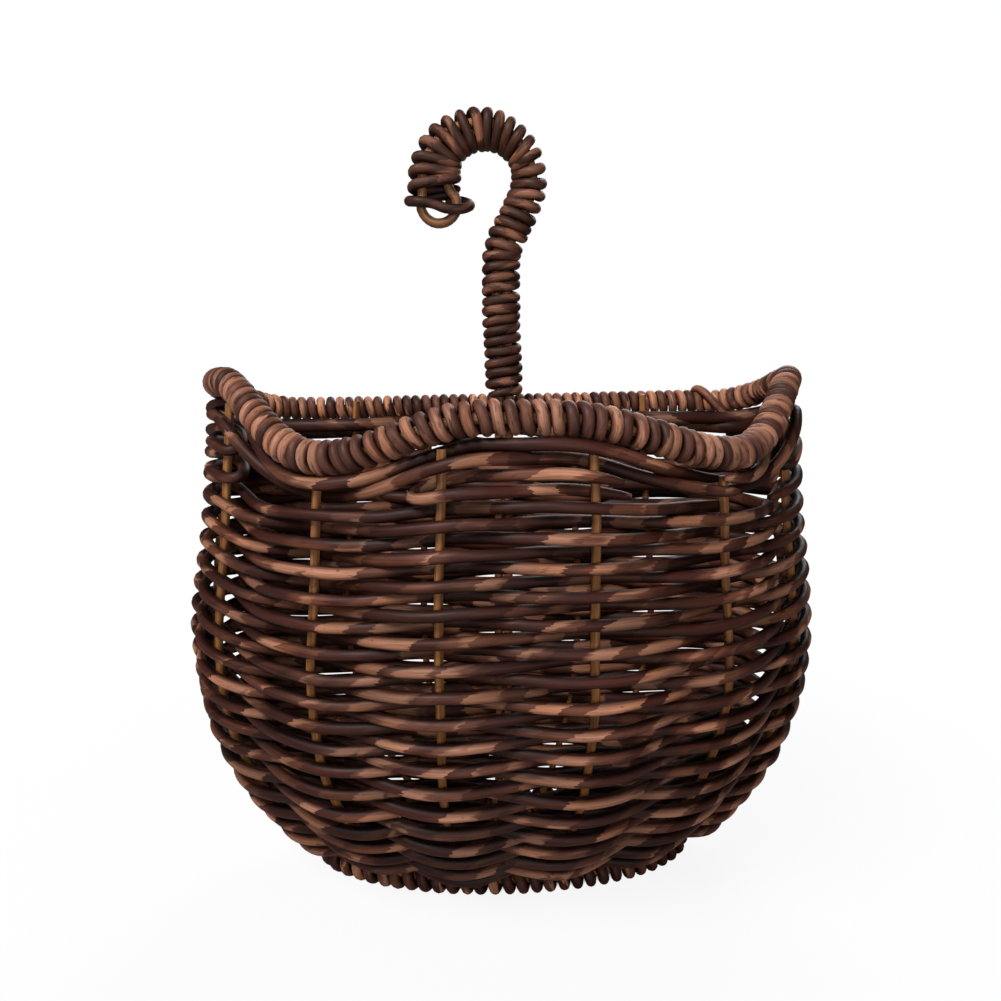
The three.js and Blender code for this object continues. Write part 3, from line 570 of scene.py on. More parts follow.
TAN = (0.272, 0.129, 0.079, 1)
DARK = (0.042, 0.012, 0.008, 1)
MIDDLE = (0.098, 0.036, 0.021, 1)
base_skin = skin_finish("base_skin", TAN, DARK, MIDDLE, share=0.58)
ring_stations = np.linspace(-2, 2, 400)
base_ring = wall_point(ring_stations, BASE_HEIGHT + BASE_WRAP_UP)
base_ring += wall_frame(ring_stations, BASE_HEIGHT)[2] * (BASE_WRAP_OUT, BASE_WRAP_OUT, 0)
wound("base_wrap", base_ring, base_skin, "weaver", BASE_PITCH, BASE_COIL, BASE_STRAND, 5)

# Floor. Three straight sticks of peeled cane lie inside the base ring, and one strand is woven
# to and fro across them, bending back at each side.
FLOOR_STICK = 3.5
FLOOR_STICK_PLACES = [-8.5, 2.5, 13.5]
FLOOR_STRAND = 3.5
FLOOR_REACH = 3.65
FLOOR_HEIGHT = 6.0
FLOOR_PASSES = 43
FLOOR_SHARE = 0.985
FLOOR_BEND = 0.7
FLOOR_EDGE = 6.65
FLOOR_TURN_ROOM = 3
# How strongly the floor strand's upper and lower faces take painted light, its sides painted shade.
FLOOR_PAINTED_LIGHT = 1.6
STAKE_PALE = (0.36, 0.150, 0.046, 1)
STAKE_DEEP = (0.19, 0.070, 0.020, 1)
STAKE_RING = (0.06, 0.022, 0.010, 1)
stake_finish = finish("stake", peeled_color(STAKE_PALE, STAKE_DEEP, STAKE_RING), (0.42, 0.55),
                      specular=0.3)
weaver_skin = skin_finish("weaver_skin", TAN, DARK, MIDDLE)
base_side = wall_point(1.0, BASE_HEIGHT)[0]
base_front = BASKET_SHIFT - wall_point(0.0, BASE_HEIGHT)[1]


def floor_half_width(y):
    """How far the floor reaches to each side, within the base ring."""
    if y < 0:
        return (base_side - FLOOR_EDGE) * math.sqrt(1 - (y / (base_front - FLOOR_EDGE)) ** 2)
    bow = math.sqrt(1 - (y / (BACK_DEPTH - FLOOR_EDGE)) ** 2)
    return base_side - CORNER_RADIUS + (CORNER_RADIUS - FLOOR_EDGE) * bow


def floor_depths(x):
    """How far the floor reaches forward and back, within the base ring."""
    bow = math.sqrt(1 - (x / (base_side - FLOOR_EDGE)) ** 2)
    past = max(0, abs(x) - (base_side - CORNER_RADIUS)) / (CORNER_RADIUS - FLOOR_EDGE)
    return -(base_front - FLOOR_EDGE) * bow, (BACK_DEPTH - FLOOR_EDGE) * math.sqrt(1 - past * past)


for number, y in enumerate(FLOOR_STICK_PLACES, 1):
    half = floor_half_width(y) - FLOOR_STICK / 2
    stick = [(x, y + BASKET_SHIFT, FLOOR_HEIGHT) for x in np.linspace(-half, half, 20)]
    name = f"floor_stick_{number}"
    made_by(round_strand, name, path_mesh(name, stick), stake_finish, "stake", FLOOR_STICK,
            10 + number, Step=0.006)

floor_turns = []
floor_span = 2 * (base_side - FLOOR_EDGE) * FLOOR_SHARE
for run in range(FLOOR_PASSES):
    x = -floor_span / 2 + floor_span * run / (FLOOR_PASSES - 1)
    front, back = np.array(floor_depths(x)) + (FLOOR_BEND, -FLOOR_BEND)
    pass_points = [(x, front, FLOOR_HEIGHT)]
    for k, y in enumerate(FLOOR_STICK_PLACES):
        if front + FLOOR_TURN_ROOM < y < back - FLOOR_TURN_ROOM:
            side = 1 if (run + k) % 2 == 0 else -1
            pass_points.append((x, y, FLOOR_HEIGHT + side * FLOOR_REACH))
    pass_points.append((x, back, FLOOR_HEIGHT))
    floor_turns += pass_points if run % 2 == 0 else pass_points[::-1]


def smooth_path(points, spacing=1.5):
    """A Catmull-Rom curve through points, at about even spacing."""
    points = np.asarray(points, float)
    before = np.vstack([2 * points[0] - points[1], points[:-1]])
    after = np.vstack([points[1:], 2 * points[-1] - points[-2]])
    made = []
    for a, b, c, d in zip(before[:-1], points[:-1], points[1:], after[1:]):
        steps = max(2, int(np.linalg.norm(c - b) / spacing))
        t = np.linspace(0, 1, steps, endpoint=False)[:, None]
        made.append(0.5 * (2 * b + (c - a) * t + (2 * a - 5 * b + 4 * c - d) * t ** 2
                           + (3 * b - a - 3 * c + d) * t ** 3))
    return np.vstack([*made, points[-1:]])


floor_points = smooth_path(floor_turns) + (0, BASKET_SHIFT, 0)
# Painted light faces up and down on the floor strand, with painted shade on its sides.
floor_path = path_mesh("floor_weaver", floor_points, nearer=np.zeros(len(floor_points)),
                       facing=np.tile((0.0, 0.0, FLOOR_PAINTED_LIGHT), (len(floor_points), 1)))
made_by(round_strand, "floor_weaver", floor_path, weaver_skin, "weaver", FLOOR_STRAND, 15,
        Sides=10, Step=0.0025)

# Stakes. Twelve upright canes, peeled and golden, stand on the base ring and reach up to the
# rim. The two long ones at the back rise in front of the rim, cut off at its top.
STAKE = 3.4
WALL_WANDER = 0.0032
STAKE_FOOT = 8.5
STAKE_HEAD_GAP = 1.4
STATIONS = np.array([-2, -1.81, -1.625, -1.04, -0.68, -0.37, -0.13,
                     0.13, 0.41, 0.69, 1.04, 1.625, 1.81])
STAKES = len(STATIONS)
LONG_STAKES = [2, 11]
LONG_STAKE_RISE = 0.6 * RIM_OUTER

# Rim: heights of its cane's middle, and the stations where they lie. At the back it is lashed
# behind the stakes and runs a little aslant.
CREST_HEIGHT = 227.5
DIP_HEIGHT = 212.3
EAR_HEIGHT = 237.0
CREST, DIP_LEFT, DIP_RIGHT = 0.05, 0.37, 0.45
EAR_LEFT, EAR_RIGHT, BACK = 0.71, 0.78, 1.45
BACK_TILT = 1.5
RIM_BACK_SHIFT = 5.55


def scallop(station, crest, dip, ear, back):
    """A value that follows the rim's scallops: crest, dip, ear and back."""
    s = folded(station)
    w = np.abs(s)
    low = np.where(s < 0, DIP_LEFT, DIP_RIGHT)
    high = np.where(s < 0, EAR_LEFT, EAR_RIGHT)
    front = crest + (dip - crest) * eased(w, CREST, low)
    side = dip + (ear - dip) * eased(w, low, high)
    rear = ear + (back - ear) * eased(w, high, BACK)
    return np.where(w < low, front, np.where(w < high, side, rear))


def rim_height(station):
    s = folded(station)
    tilt = BACK_TILT * np.sign(s) * eased(np.abs(s), 2, CORNER_END) * backness(station)
    return scallop(station, CREST_HEIGHT, DIP_HEIGHT, EAR_HEIGHT, BACK_RIM_HEIGHT) + tilt


def rim_point(station):
    station = np.asarray(station, float)
    z = rim_height(station)
    x, y = outline(station, along_levels(z, level_side), along_levels(z, level_front),
                   BACK_DEPTH + RIM_BACK_SHIFT)
    return np.stack([x, y + BASKET_SHIFT, z], -1)


def height_under_rim(station, distance, step=0.01):
    """The height on the wall at a distance square to the rim."""
    run = rim_point(station + step) - rim_point(station - step)
    slope = np.linalg.norm(run, axis=-1) / np.linalg.norm(run[..., :2], axis=-1)
    return rim_height(station) - distance * slope


for j in range(1, STAKES):
    station = STATIONS[j]
    head = height_under_rim(station, RIM_OUTER + STAKE_HEAD_GAP)
    if j in LONG_STAKES:
        head = rim_height(station) + LONG_STAKE_RISE
    heights = np.linspace(STAKE_FOOT, head, 60)
    name = f"stake_{j:02d}"
    made_by(round_strand, name, path_mesh(name, wall_point(station, heights)), stake_finish,
            "stake", STAKE, 20 + j, Sides=14, Step=0.004, Swell=0.05, Wander=WALL_WANDER)

# Hook cane. One long cane bent double: its two legs stand in the middle of the back as the
# thirteenth stake, rise above the rim, curl over to the left and turn round at the tip.
HOOK_CANE = 4.6
HOOK_PLANE = BACK_DEPTH - BACK_LEAN + BASKET_SHIFT
HOOK_FOOT = 12.52
HOOK_LEAN = 1.5
HOOK_LEAN_HEIGHTS = (275, 225)
HOOK_SWAY_START = 289
HOOK_CURL_HEIGHT = 327.5
HOOK_CURL_RADIUS = 22
HOOK_CURL_RISE = 21
HOOK_SWAY = 13
HOOK_TIP_DROP = 12
HOOK_TIP_BEND = 2
HOOK_LEG_SPREAD = 2.35
HOOK_ARC_SPREAD = 6.2
HOOK_TIP_SPREAD = 8.5
HOOK_TWIST = 1.0

# Places on the hook, from its foot (0) over the curl (1 to 2) to the tip (3), between which
# its legs spread apart, or twist and turn back
ARC_SPREADS = (1.3, 2.3)
TIP_SPREADS = (2.4, 3)
TWISTS = (0.86, 1.06)
TURNS_BACK = (1.6, 1.2)


def hook_middle(t):
    """The hook's middle line at places along it."""
    t = np.atleast_1d(np.asarray(t, float))
    z = HOOK_FOOT + (HOOK_CURL_HEIGHT - HOOK_FOOT) * t
    sway = HOOK_SWAY * eased(z, HOOK_SWAY_START, HOOK_CURL_HEIGHT)
    sway = sway + HOOK_LEAN * eased(z, *HOOK_LEAN_HEIGHTS)
    wall_y = wall_point(-2.0, np.minimum(z, BACK_RIM_HEIGHT))[:, 1]
    stem_y = np.where(z < BACK_RIM_HEIGHT, wall_y, HOOK_PLANE)
    center, angle = HOOK_SWAY - HOOK_CURL_RADIUS, (t - 1) * np.pi
    stem = np.stack([sway, stem_y, z], -1)
    curl = np.stack([center + HOOK_CURL_RADIUS * np.cos(angle), HOOK_PLANE + 0 * t,
                     HOOK_CURL_HEIGHT + HOOK_CURL_RISE * np.sin(angle)], -1)
    tip = np.stack([center - HOOK_CURL_RADIUS + (t - 2) ** 2 * HOOK_TIP_BEND, HOOK_PLANE + 0 * t,
                    HOOK_CURL_HEIGHT - (t - 2) * HOOK_TIP_DROP], -1)
    return np.where((t <= 1)[:, None], stem, np.where((t <= 2)[:, None], curl, tip))


def hook_sides(t, step=0.004):
    """Where the legs lie beside the middle line: its tangent, the way inward, across, spread."""
    t = np.atleast_1d(np.asarray(t, float))
    tangent = unit(hook_middle(np.minimum(t + step, 3)) - hook_middle(np.maximum(t - step, 0)))
    inward = unit(np.stack([-tangent[:, 2], 0 * t, tangent[:, 0]], -1))
    spread = HOOK_LEG_SPREAD + (HOOK_ARC_SPREAD - HOOK_LEG_SPREAD) * eased(t, *ARC_SPREADS)
    spread = spread + (HOOK_TIP_SPREAD - HOOK_ARC_SPREAD) * eased(t, *TIP_SPREADS)
    twist = HOOK_TWIST * eased(t, *TWISTS) * eased(t, *TURNS_BACK)
    across = inward * np.cos(twist)[:, None] + np.array([0, 1, 0]) * np.sin(twist)[:, None]
    return tangent, inward, across, spread


hook_places = np.concatenate([np.linspace(0, 1, 90), np.linspace(1, 3, 70)[1:]])
_, _, hook_across, hook_spread = hook_sides(hook_places)
outer_leg = hook_middle(hook_places) - hook_across * hook_spread[:, None]
inner_leg = hook_middle(hook_places) + hook_across * hook_spread[:, None]
tip_tangent, tip_inward, _, tip_spread = (v[0] for v in hook_sides(3.0))
tip_angles = np.linspace(0, np.pi, 12)[1:-1]
tip_turn = hook_middle(3.0) + tip_spread * (np.sin(tip_angles)[:, None] * tip_tangent
                                            - np.cos(tip_angles)[:, None] * tip_inward)
hook_path = path_mesh("hook_cane", np.vstack([outer_leg, tip_turn, inner_leg[::-1]]))
made_by(round_strand, "hook_cane", hook_path, cane_finish, "cane", HOOK_CANE, 40, Sides=14,
        Step=0.002, Swell=0.03, Quiver=0.0)

# Weave. Strands of unpeeled rattan run in plain weave from the base up, over one stake and
# under the next, each new strand laid in where the last one ends. Thirteen is an odd number,
# so one spiral alternates by itself.
WEAVER = 4.45
LOWER_WEAVER = 5.4
SLIMMING_HEIGHTS = (45, 120)
LOWER_TURNS = 14
TURNS = 33
SEAM_STAKE = 8
LAST_PASS = TURNS * STAKES + SEAM_STAKE
STRAND_PASSES = 55
STRAND_OVERLAP = 0.12
PASS_POINTS = 16
STAKE_SPACING = 56

# Behind, the strands are stouter and lie flatter, more so low down.
BACK_STOUTER = 0.36
STOUTER_DEPTHS = (-34, 8)
BACK_PRESSED = 0.30
LOW_BACK_PRESSED = 0.28
PRESSED_HEIGHTS = (150, 60)

# At the sides their outer loops stand out further, but not near the base or the rim.
SIDE_LOOSENESS = 0.65
SIDE_STATION = 1.04
SIDE_LENGTH = 0.22
LOOSE_FROM = (12, 72)
LOOSE_UNTIL = (165, 125)

# Row heights. The first rows are pushed up in front and more so towards the sides, and lie
# lower behind. The top rows follow the rim, with short rows between under crest, ears and back.
UPPER_START = 97
FIRST_ROW_RISE = 8.65
FIRST_ROW_HEIGHT = 9.0
FRONT_RAISED = 7.0
SIDE_RAISED = 2.5
SIDE_RAISED_FROM = 0.6
RAISED_TURNS = 8
RAISED_FADE = 1.4
BACK_LOWERED = 4.4
LOWERED_AFTER = 0.7
LOWERED_TURNS = 5
CLOSING_PITCH = 4.6
RIM_TO_TOP_ROW = 8.95
BACK_ROWS_RAISED = 1.9
CREST_FILLS, EAR_FILLS, BACK_FILLS = 2, 4, 2


def station_at(j):
    """The station of a stake, counted on round after round."""
    j = np.asarray(j, int)
    return STATIONS[np.mod(j, STAKES)] + ROUND * np.floor_divide(j, STAKES)


def station_of(q):
    """The station of a place between stakes."""
    whole = np.floor(q).astype(int)
    f = q - whole
    return station_at(whole) * (1 - f) + station_at(whole + 1) * f


def closing_height(q, row):
    """The height of a closing row, counted from the upper one, 0."""
    station = station_of(q)
    drop = RIM_TO_TOP_ROW - BACK_ROWS_RAISED * backness(station) + row * CLOSING_PITCH
    return height_under_rim(station, drop)


def upper_pitch(q):
    fills = scallop(station_of(q), CREST_FILLS, 0, EAR_FILLS, BACK_FILLS)
    return (closing_height(q, 1) - UPPER_START) / (LAST_PASS / STAKES - LOWER_TURNS + 1 + fills)


def row_height(q):
    """The height of the spiral at a place, counted in stakes from its start."""
    turn = q / STAKES
    station = station_of(q)
    upper = UPPER_START + (turn - LOWER_TURNS) * upper_pitch(q)
    _, rise, _ = wall_frame(station, FIRST_ROW_HEIGHT)
    first = BASE_HEIGHT + FIRST_ROW_RISE * rise[:, 2]
    lower = first + (UPPER_START - first) * turn / LOWER_TURNS
    behind = backness(station)
    raised = FRONT_RAISED + SIDE_RAISED * eased(np.abs(folded(station)), 0, SIDE_RAISED_FROM)
    raised = raised * np.clip(1 - turn / RAISED_TURNS, 0, 1) ** RAISED_FADE
    lowered = BACK_LOWERED * eased(turn, 0, LOWERED_AFTER) * np.clip(1 - turn / LOWERED_TURNS, 0, 1)
    lower = lower + raised * (1 - behind) - lowered * behind
    return np.where(turn > LOWER_TURNS, upper, lower)


def side_of(j):
    """The side on which a strand passes a stake: 1 outside, -1 inside."""
    return np.where(np.mod(j, 2) == 0, 1, -1)


def strand_size(place):
    """Strands are stouter low down and towards the back, so that the rows lie close."""
    size = LOWER_WEAVER + (WEAVER - LOWER_WEAVER) * eased(place[..., 2], *SLIMMING_HEIGHTS)
    return size * (1 + BACK_STOUTER * eased(place[..., 1] - BASKET_SHIFT, *STOUTER_DEPTHS))


def reach_past(j, size=WEAVER):
    """How far off its middle a strand lies where it passes a stake, or the hook's cane."""
    return (np.where(np.mod(j, STAKES) == 0, HOOK_CANE, STAKE) + size) / 2


def weave_points(q, side_at, height_of):
    """Points of a strand at places q, counted in stakes, in and out between them. Also the way
    out of the wall at each, and how far out the strand is, from -1 to 1."""
    q = np.asarray(q, float)
    j = np.floor(q).astype(int)
    f = eased(q - j, 0, 1)
    station, z = station_of(q), height_of(q)
    place = wall_point(station, z)
    size = strand_size(place)
    offset = side_at(j) * (reach_past(j, size) * (1 - f) - reach_past(j + 1, size) * f)
    pressed = BACK_PRESSED + LOW_BACK_PRESSED * eased(z, *PRESSED_HEIGHTS)
    offset = offset * (1 - pressed * backness(station))
    beside = np.exp(-((np.abs(folded(station)) - SIDE_STATION) / SIDE_LENGTH) ** 2)
    beside = beside * eased(z, *LOOSE_UNTIL) * eased(z, *LOOSE_FROM)
    offset = offset + np.maximum(offset, 0) * SIDE_LOOSENESS * beside
    _, _, out = wall_frame(station, z)
    return place + out * offset[:, None], out, offset / (STAKE / 2 + size / 2)


def shaved(count, points_shaved=6):
    """Thickness along a strand whose two ends are shaved down."""
    return tapered(np.minimum(np.arange(count), np.arange(count)[::-1]) / points_shaved, 0.45)


def woven(name, points, facing, nearer, diameter, seed, **more):
    """Makes a strand of the weave, as stout as its place asks and with both ends shaved."""
    # Painted light faces out on the outer passes and in on the inner ones, with painted shade
    # between the strands.
    path = path_mesh(name, points, facing=facing, nearer=np.clip(nearer, -1, 1),
                     thickness=shaved(len(points)) * strand_size(points) / WEAVER)
    made_by(round_strand, name, path, weaver_skin, "weaver", diameter, seed, Wander=WALL_WANDER,
            **more)


for number, first in enumerate(range(1, LAST_PASS, STRAND_PASSES), 1):
    last = min(first + STRAND_PASSES, LAST_PASS)
    q = np.linspace(first - STRAND_OVERLAP, last + STRAND_OVERLAP, (last - first) * PASS_POINTS)
    woven(f"weaver_{number:02d}", *weave_points(q, side_of, row_height), WEAVER, 50 + number,
          Swell=0.10, Quiver=0.0007)

# Closing rows. Two strands of the same rattan follow the scallops close under the rim, right
# round the basket, and each meets its own end at the right dip.
CLOSING_STRAND = 4.85
CLOSING_OVERLAP = 0.07
CLOSING_POINTS = 18
for row, name in enumerate(["closing_row_upper", "closing_row_lower"]):
    q = np.linspace(SEAM_STAKE - CLOSING_OVERLAP, SEAM_STAKE + STAKES + CLOSING_OVERLAP,
                    STAKES * CLOSING_POINTS)
    course = weave_points(q, lambda j: side_of(j + TURNS + 1 - row),
                          lambda q: closing_height(q, row))
    woven(name, *course, CLOSING_STRAND, 70 + row, Swell=0.07)

# Short rows. Where the rim rises, a strand fills the space under it: it runs to one side,
# turns round the last stake and comes back on the other side of the stakes.


def last_row_height(q):
    """The height of the spiral's last round."""
    return row_height((TURNS - 1) * STAKES + q)


def fill_count(j):
    """How many short rows lie over each other at a stake."""
    w = np.abs(folded(station_at(j)))
    return np.where(w < DIP_LEFT, CREST_FILLS, np.where(w < BACK, EAR_FILLS, BACK_FILLS))


def fill_height(q, row, count):
    low = last_row_height(q)
    return low + row * (closing_height(q, 1) - low) / (count + 1)


def counted_height(q, row):
    j = np.floor(q).astype(int)
    f = q - j
    return fill_height(q, row, fill_count(j)) * (1 - f) + fill_height(q, row, fill_count(j + 1)) * f


# The turn round the last stake: how far up to the next row, to one side and ahead
ROW_TURN = [(0.1, 0.8, 0.7), (0.5, 0.0, 1.0), (0.9, -0.8, 0.7)]


def short_row(start, turn, row, start_reach, turn_reach, end_reach):
    """A short row's path: in past the first stake, round the last one and back."""
    step = int(np.sign(turn - start))

    def sides(p):
        return lambda j: side_of(j + TURNS + p - 1)

    def run(p):
        q = np.arange(start, turn + step * 0.01, step / PASS_POINTS)
        return weave_points(q, sides(p), lambda q: counted_height(q, p))[0]

    def beyond(j, p, offset, distance):
        q = np.array([j + distance / STAKE_SPACING])
        room = fill_height(q, p, row + 1)
        z = np.minimum(room, last_row_height(q) + p * upper_pitch(q))
        _, _, out = wall_frame(station_of(q), z)
        return (wall_point(station_of(q), z) + out * offset)[0]

    def fade(reach):
        return 1 - 2 * reach / STAKE_SPACING

    out_side = sides(row)(start) * reach_past(start)
    turn_side = sides(row)(turn) * reach_past(turn)
    points = [beyond(start, row, out_side * fade(reach), -step * reach)
              for reach in (start_reach, start_reach / 2)]
    points += list(run(row)[::2])
    points += [beyond(turn, row + up, turn_side * aside, step * turn_reach * ahead)
               for up, aside, ahead in ROW_TURN]
    points += list(run(row + 1)[::-1][::2])
    points += [beyond(start, row + 1, -out_side * fade(reach), -step * reach)
               for reach in (end_reach / 2, end_reach)]
    return smooth_path(points, 2.0)


# First stake, last stake and row of each, and how far it reaches past the stakes at its start,
# its turn and its end
SHORT_ROWS = {
    "fill_row_crest": (20, 19, 1, 14, 12, 9),
    "fill_row_back": (9, 17, 1, 24, 13, 14),
    "fill_row_ear_right": (10, 9, 3, 34, 9, 28),
    "fill_row_ear_left": (16, 17, 3, 34, 9, 28),
}
for number, (name, route) in enumerate(SHORT_ROWS.items()):
    points = short_row(*route)
    # Painted light faces out on the short rows, with painted shade between the strands.
    outward = unit((points - (0, BASKET_SHIFT, 0)) * (1, 1, 0))
    woven(name, points, outward, np.ones(len(points)), WEAVER, 80 + number, Step=0.002,
          Swell=0.07)

# Rim core. A round cane laid over the wall, bent to the two dips and the two raised ears, and
# lashed behind the stakes at the back.
RIM_CANE = 4.0
rim_stations = np.linspace(-2, 2, 320, endpoint=False)
made_by(round_strand, "rim_core", path_mesh("rim_core", rim_point(rim_stations), closed=True),
        cane_finish, "cane", RIM_CANE, 90, Step=0.004, Quiver=0.0)

# Rim winding. Strands wound closely round the rim's cane, turn beside turn, in three lengths:
# left, right and back. Their turns lie a little unevenly, and closer round the ears.
RIM_STRAND = 4.35
RIM_COIL = 4.3
RIM_PITCH = 4.9
RIM_UNEVENNESS = 0.9
EAR_PITCH = 3.85
EAR_PITCH_STATIONS = (0.05, 0.70)
EAR_SLIM = 0.92
EAR_SLIM_STATIONS = (0.4, 0.7)
TUCKED = 0.75 * math.pi
BACK_RIM_STRAND = 4.3
BACK_RIM_COIL = 3.9
BACK_RIM_PITCH = 4.75
RIM_CORNER = 1.12
RIM_TAN = (0.275, 0.131, 0.084, 1)
RIM_DARK = (0.068, 0.027, 0.019, 1)
RIM_MIDDLE = (0.165, 0.070, 0.044, 1)
BACK_RIM_TAN = (0.39, 0.182, 0.112, 1)
BACK_RIM_MIDDLE = (0.17, 0.072, 0.044, 1)
rim_skin = skin_finish("rim_skin", RIM_TAN, RIM_DARK, RIM_MIDDLE, grain=0.45, patch=34,
                       share=0.50, specks=0.60)
back_rim_skin = skin_finish("back_rim_skin", BACK_RIM_TAN, RIM_DARK, BACK_RIM_MIDDLE, patch=34,
                            share=0.49, specks=0.60)
for name, start, end, seed in [("rim_wrap_left", -RIM_CORNER, 0.0, 106),
                               ("rim_wrap_right", 0.0, RIM_CORNER, 107)]:
    places = np.linspace(start, end, 500)
    pitch = RIM_PITCH + (EAR_PITCH - RIM_PITCH) * eased(np.abs(places), *EAR_PITCH_STATIONS)
    slim = 1 + (EAR_SLIM - 1) * eased(np.abs(places), *EAR_SLIM_STATIONS)
    wound(name, rim_point(places), rim_skin, "weaver", pitch, RIM_COIL, RIM_STRAND, seed,
          slim=slim, Start=TUCKED, Lean=RIM_UNEVENNESS * MM)
back_places = np.linspace(RIM_CORNER, ROUND - RIM_CORNER, 900)
wound("rim_wrap_back", rim_point(back_places), back_rim_skin, "weaver", BACK_RIM_PITCH,
      BACK_RIM_COIL, BACK_RIM_STRAND, 106, Start=TUCKED)

# Loose end of the back rim's winding. It crosses the other turns aslant and is tucked under the
# rim, beside the right ear. Depths are from the widest line of the wall.
RIM_END = [
    (97.5, 38.2, 226.8), (98.8, 34.3, 229.4), (101, 29.6, 228.2), (104, 26.8, 224.8),
    (107.5, 24.6, 221), (110.5, 24.2, 217.5), (112.5, 26.6, 215), (112, 30.8, 214.4),
]
RIM_END_MIDDLE = (104, 34, 222)


def loose_end(name, route, middle, depth, material, slot, diameter, seed):
    """The loose end of a winding, on a route round its middle. The route's own depths count
    from the one that is given."""
    points = smooth_path(np.array(route) + (0, depth, 0), 1.2)
    # Painted light faces away from the middle, with painted shade on the sides of the strand.
    facing = unit(points - (np.array(middle) + (0, depth, 0)))
    path = path_mesh(name, points, thickness=shaved(len(points), 3), facing=facing,
                     nearer=np.ones(len(points)))
    made_by(round_strand, name, path, material, slot, diameter, seed, in_frame=False, Sides=14,
            Step=0.0016, Quiver=0.0002)


loose_end("rim_wrap_end", RIM_END, RIM_END_MIDDLE, BASKET_SHIFT, rim_skin, "weaver",
          BACK_RIM_STRAND, 107)

# Hook winding. A darker, stouter strand wound round both legs of the hook, from the rim to near
# the tip. Its turns lie close on the stem and fan out over the curl.
HOOK_STRAND = 4.75
HOOK_COIL = 4.55
HOOK_PITCH = 4.95
HOOK_UNEVENNESS = 1.3
HOOK_WRAP_GAP = 6.2
HOOK_WRAP_END = 2.5
HOOK_TAN = (0.168, 0.072, 0.043, 1)
HOOK_DARK = (0.038, 0.015, 0.010, 1)
HOOK_MIDDLE = (0.075, 0.030, 0.019, 1)
hook_skin = skin_finish("hook_skin", HOOK_TAN, HOOK_DARK, HOOK_MIDDLE, patch=90)
wrap_height = BACK_RIM_HEIGHT + HOOK_WRAP_GAP
wrap_start = (wrap_height - HOOK_FOOT) / (HOOK_CURL_HEIGHT - HOOK_FOOT)
wrap_places = np.concatenate([np.linspace(wrap_start, 1, 80),
                              np.linspace(1, HOOK_WRAP_END, 160)[1:]])
wrap_tangent, _, wrap_across, wrap_spread = hook_sides(wrap_places)
wrap_depth = unit(np.cross(wrap_tangent, wrap_across))
wound("hook_wrap", hook_middle(wrap_places), hook_skin, "hook_wrap", HOOK_PITCH, HOOK_COIL,
      HOOK_STRAND, 7, frames=(wrap_across, wrap_depth), widen=wrap_spread,
      Lean=HOOK_UNEVENNESS * MM, Step=0.0016, Sides=14)

# Loose end of the hook winding. The last turn hangs a little below the others, crosses both
# legs, goes round the right one and is tucked in behind. Depths are from the hook's middle.
HOOK_END = [
    (-20.4, 0.5, 322.0), (-23, 4.6, 321.2), (-30, 5.0, 319.8), (-39, 4.3, 318.2), (-42.9, 0, 316.9),
    (-38.5, -4.6, 316.0), (-32, -5.0, 315.3), (-26, -4.9, 313.2), (-19.5, -4.9, 312.8),
    (-14.8, -1.5, 314.6), (-15.4, 3.2, 316.6), (-20.5, 4.9, 318.0), (-26, 4.4, 317.2),
]
HOOK_END_MIDDLE = (-29, 0, 316)
loose_end("hook_wrap_end", HOOK_END, HOOK_END_MIDDLE, HOOK_PLANE, hook_skin, "hook_wrap",
          HOOK_STRAND, 9)

# Floor and backdrop, plain and white, with the basket's soft shadow, in metres. Inside the base
# ring the floor is matt and shaded, near the basket mostly white, and further off plain white.
GROUND_REACH = 30
GROUND_TO_LIGHT = 0.30
GROUND_TO_VIEWER = 0.9
SHADOW_RADII = (0.10, 0.42)
WHITE_NEAREST = 0.90
UNDER_SIDE = 0.086
UNDER_FRONT = 0.033
UNDER_EDGE = (0.92, 1.02)
corners = [(x * GROUND_REACH, y * GROUND_REACH, 0) for x, y in [(-1, -1), (1, -1), (1, 1), (-1, 1)]]
ground_mesh = bpy.data.meshes.new("ground")
ground_mesh.from_pydata(corners, [], [(0, 1, 2, 3)])
placed("ground", ground_mesh)
ground_paint = bpy.data.materials.new("ground")
ground_paint.use_nodes = True
paint = ground_paint.node_tree
paint.nodes.clear()
viewed = put(paint, "ShaderNodeLightPath", {}, "Is Camera Ray")
matt_color = grey(paint, ranged(paint, viewed, 0, 1, GROUND_TO_LIGHT, GROUND_TO_VIEWER))
matt = put(paint, "ShaderNodeBsdfDiffuse", {"Color": matt_color})
white = put(paint, "ShaderNodeEmission", {"Color": (1, 1, 1, 1), "Strength": 1.0})
ground_place = put(paint, "ShaderNodeTexCoord", {}, "Object")
clear = ranged(paint, vectors(paint, "LENGTH", ground_place), *SHADOW_RADII, WHITE_NEAREST, 1.0,
               "SMOOTHSTEP")
inside_ring = vectors(paint, "SUBTRACT", ground_place, (0, BASKET_SHIFT * MM, 0))
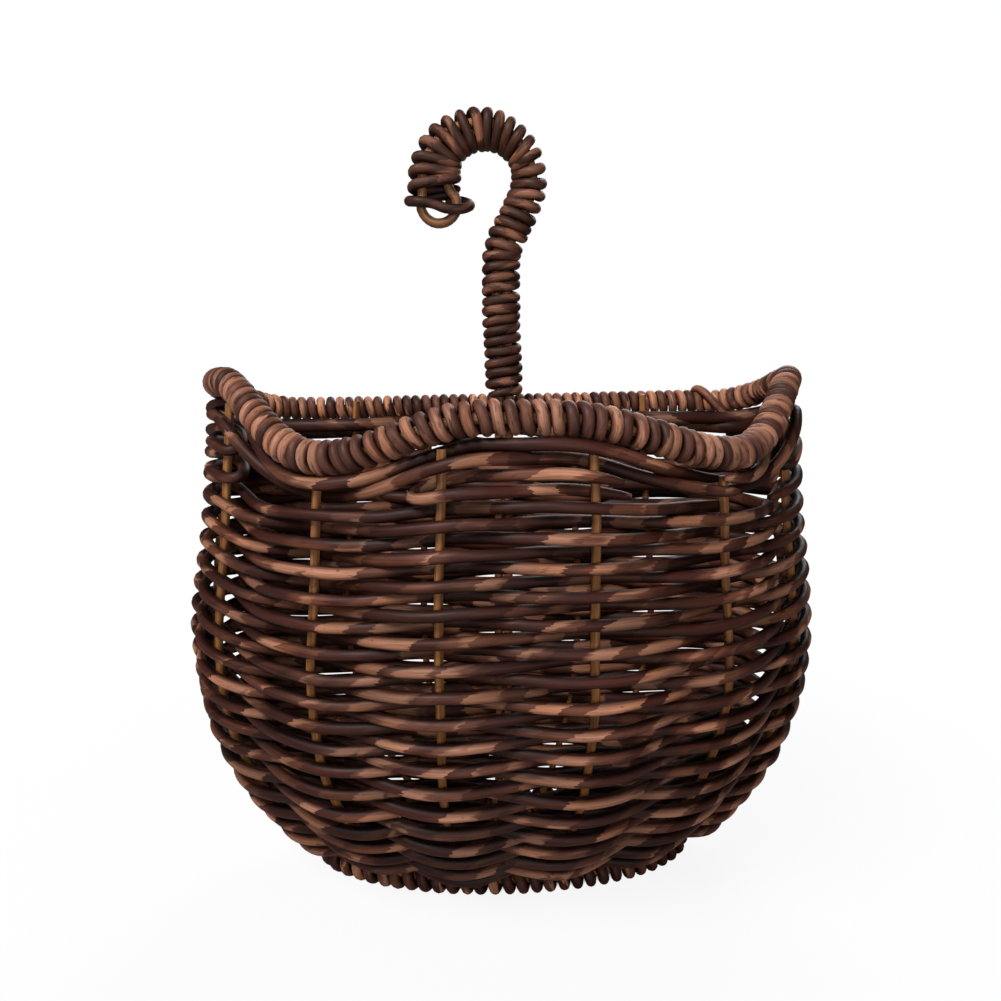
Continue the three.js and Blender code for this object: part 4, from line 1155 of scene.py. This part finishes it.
inside_ring = vectors(paint, "MULTIPLY", inside_ring, (1 / UNDER_SIDE, 1 / UNDER_FRONT, 0))
inside_ring = vectors(paint, "LENGTH", inside_ring)
clear = product(paint, clear, ranged(paint, inside_ring, *UNDER_EDGE), viewed)
both = put(paint, "ShaderNodeMixShader", {0: clear, 1: matt, 2: white})
paint_end = paint.nodes.new("ShaderNodeOutputMaterial")
paint.links.new(both, paint_end.inputs["Surface"])
ground_mesh.materials.append(ground_paint)

# Studio: a white backdrop that lights little, and three square softboxes
SKY_TO_LIGHT = 0.05
world = bpy.data.worlds.new("studio")
bpy.context.scene.world = world
world.use_nodes = True
sky = world.node_tree
background = sky.nodes["Background"]
background.inputs["Color"].default_value = (1, 1, 1, 1)
sky_viewed = put(sky, "ShaderNodeLightPath", {}, "Is Camera Ray")
sky.links.new(ranged(sky, sky_viewed, 0, 1, SKY_TO_LIGHT, 1.0), background.inputs["Strength"])


def softbox(name, place, target, size, power):
    lamp = bpy.data.lights.new(name, "AREA")
    lamp.shape, lamp.size, lamp.energy = "SQUARE", size, power
    light = placed(name, lamp)
    light.location = place
    aim = mathutils.Vector(target) - mathutils.Vector(place)
    light.rotation_euler = aim.to_track_quat("-Z", "Y").to_euler()


softbox("key", (-0.65, -0.78, 1.22), (0, 0, 0.15), size=0.6, power=21)
softbox("fill", (0.1, -1.25, 0.14), (0, 0, 0.06), size=0.8, power=8)
softbox("back", (0.5, 1.15, 1.0), (0, 0, 0.15), size=0.9, power=12)

# Camera, where the photograph was taken from, in millimetres and degrees
CAMERA_PLACE = (-17.5, BASKET_SHIFT - 369.63, 251.5)
CAMERA_DOWN = 10.97
CAMERA_RIGHT = 2.49
camera = bpy.data.cameras.new("camera")
camera.lens, camera.sensor_width = 28.98, 36
viewer = placed("camera", camera)
viewer.location = [value * MM for value in CAMERA_PLACE]
viewer.rotation_euler = (math.radians(90 - CAMERA_DOWN), 0, -math.radians(CAMERA_RIGHT))
bpy.context.scene.camera = viewer
bpy.context.scene.view_settings.view_transform = "Standard"
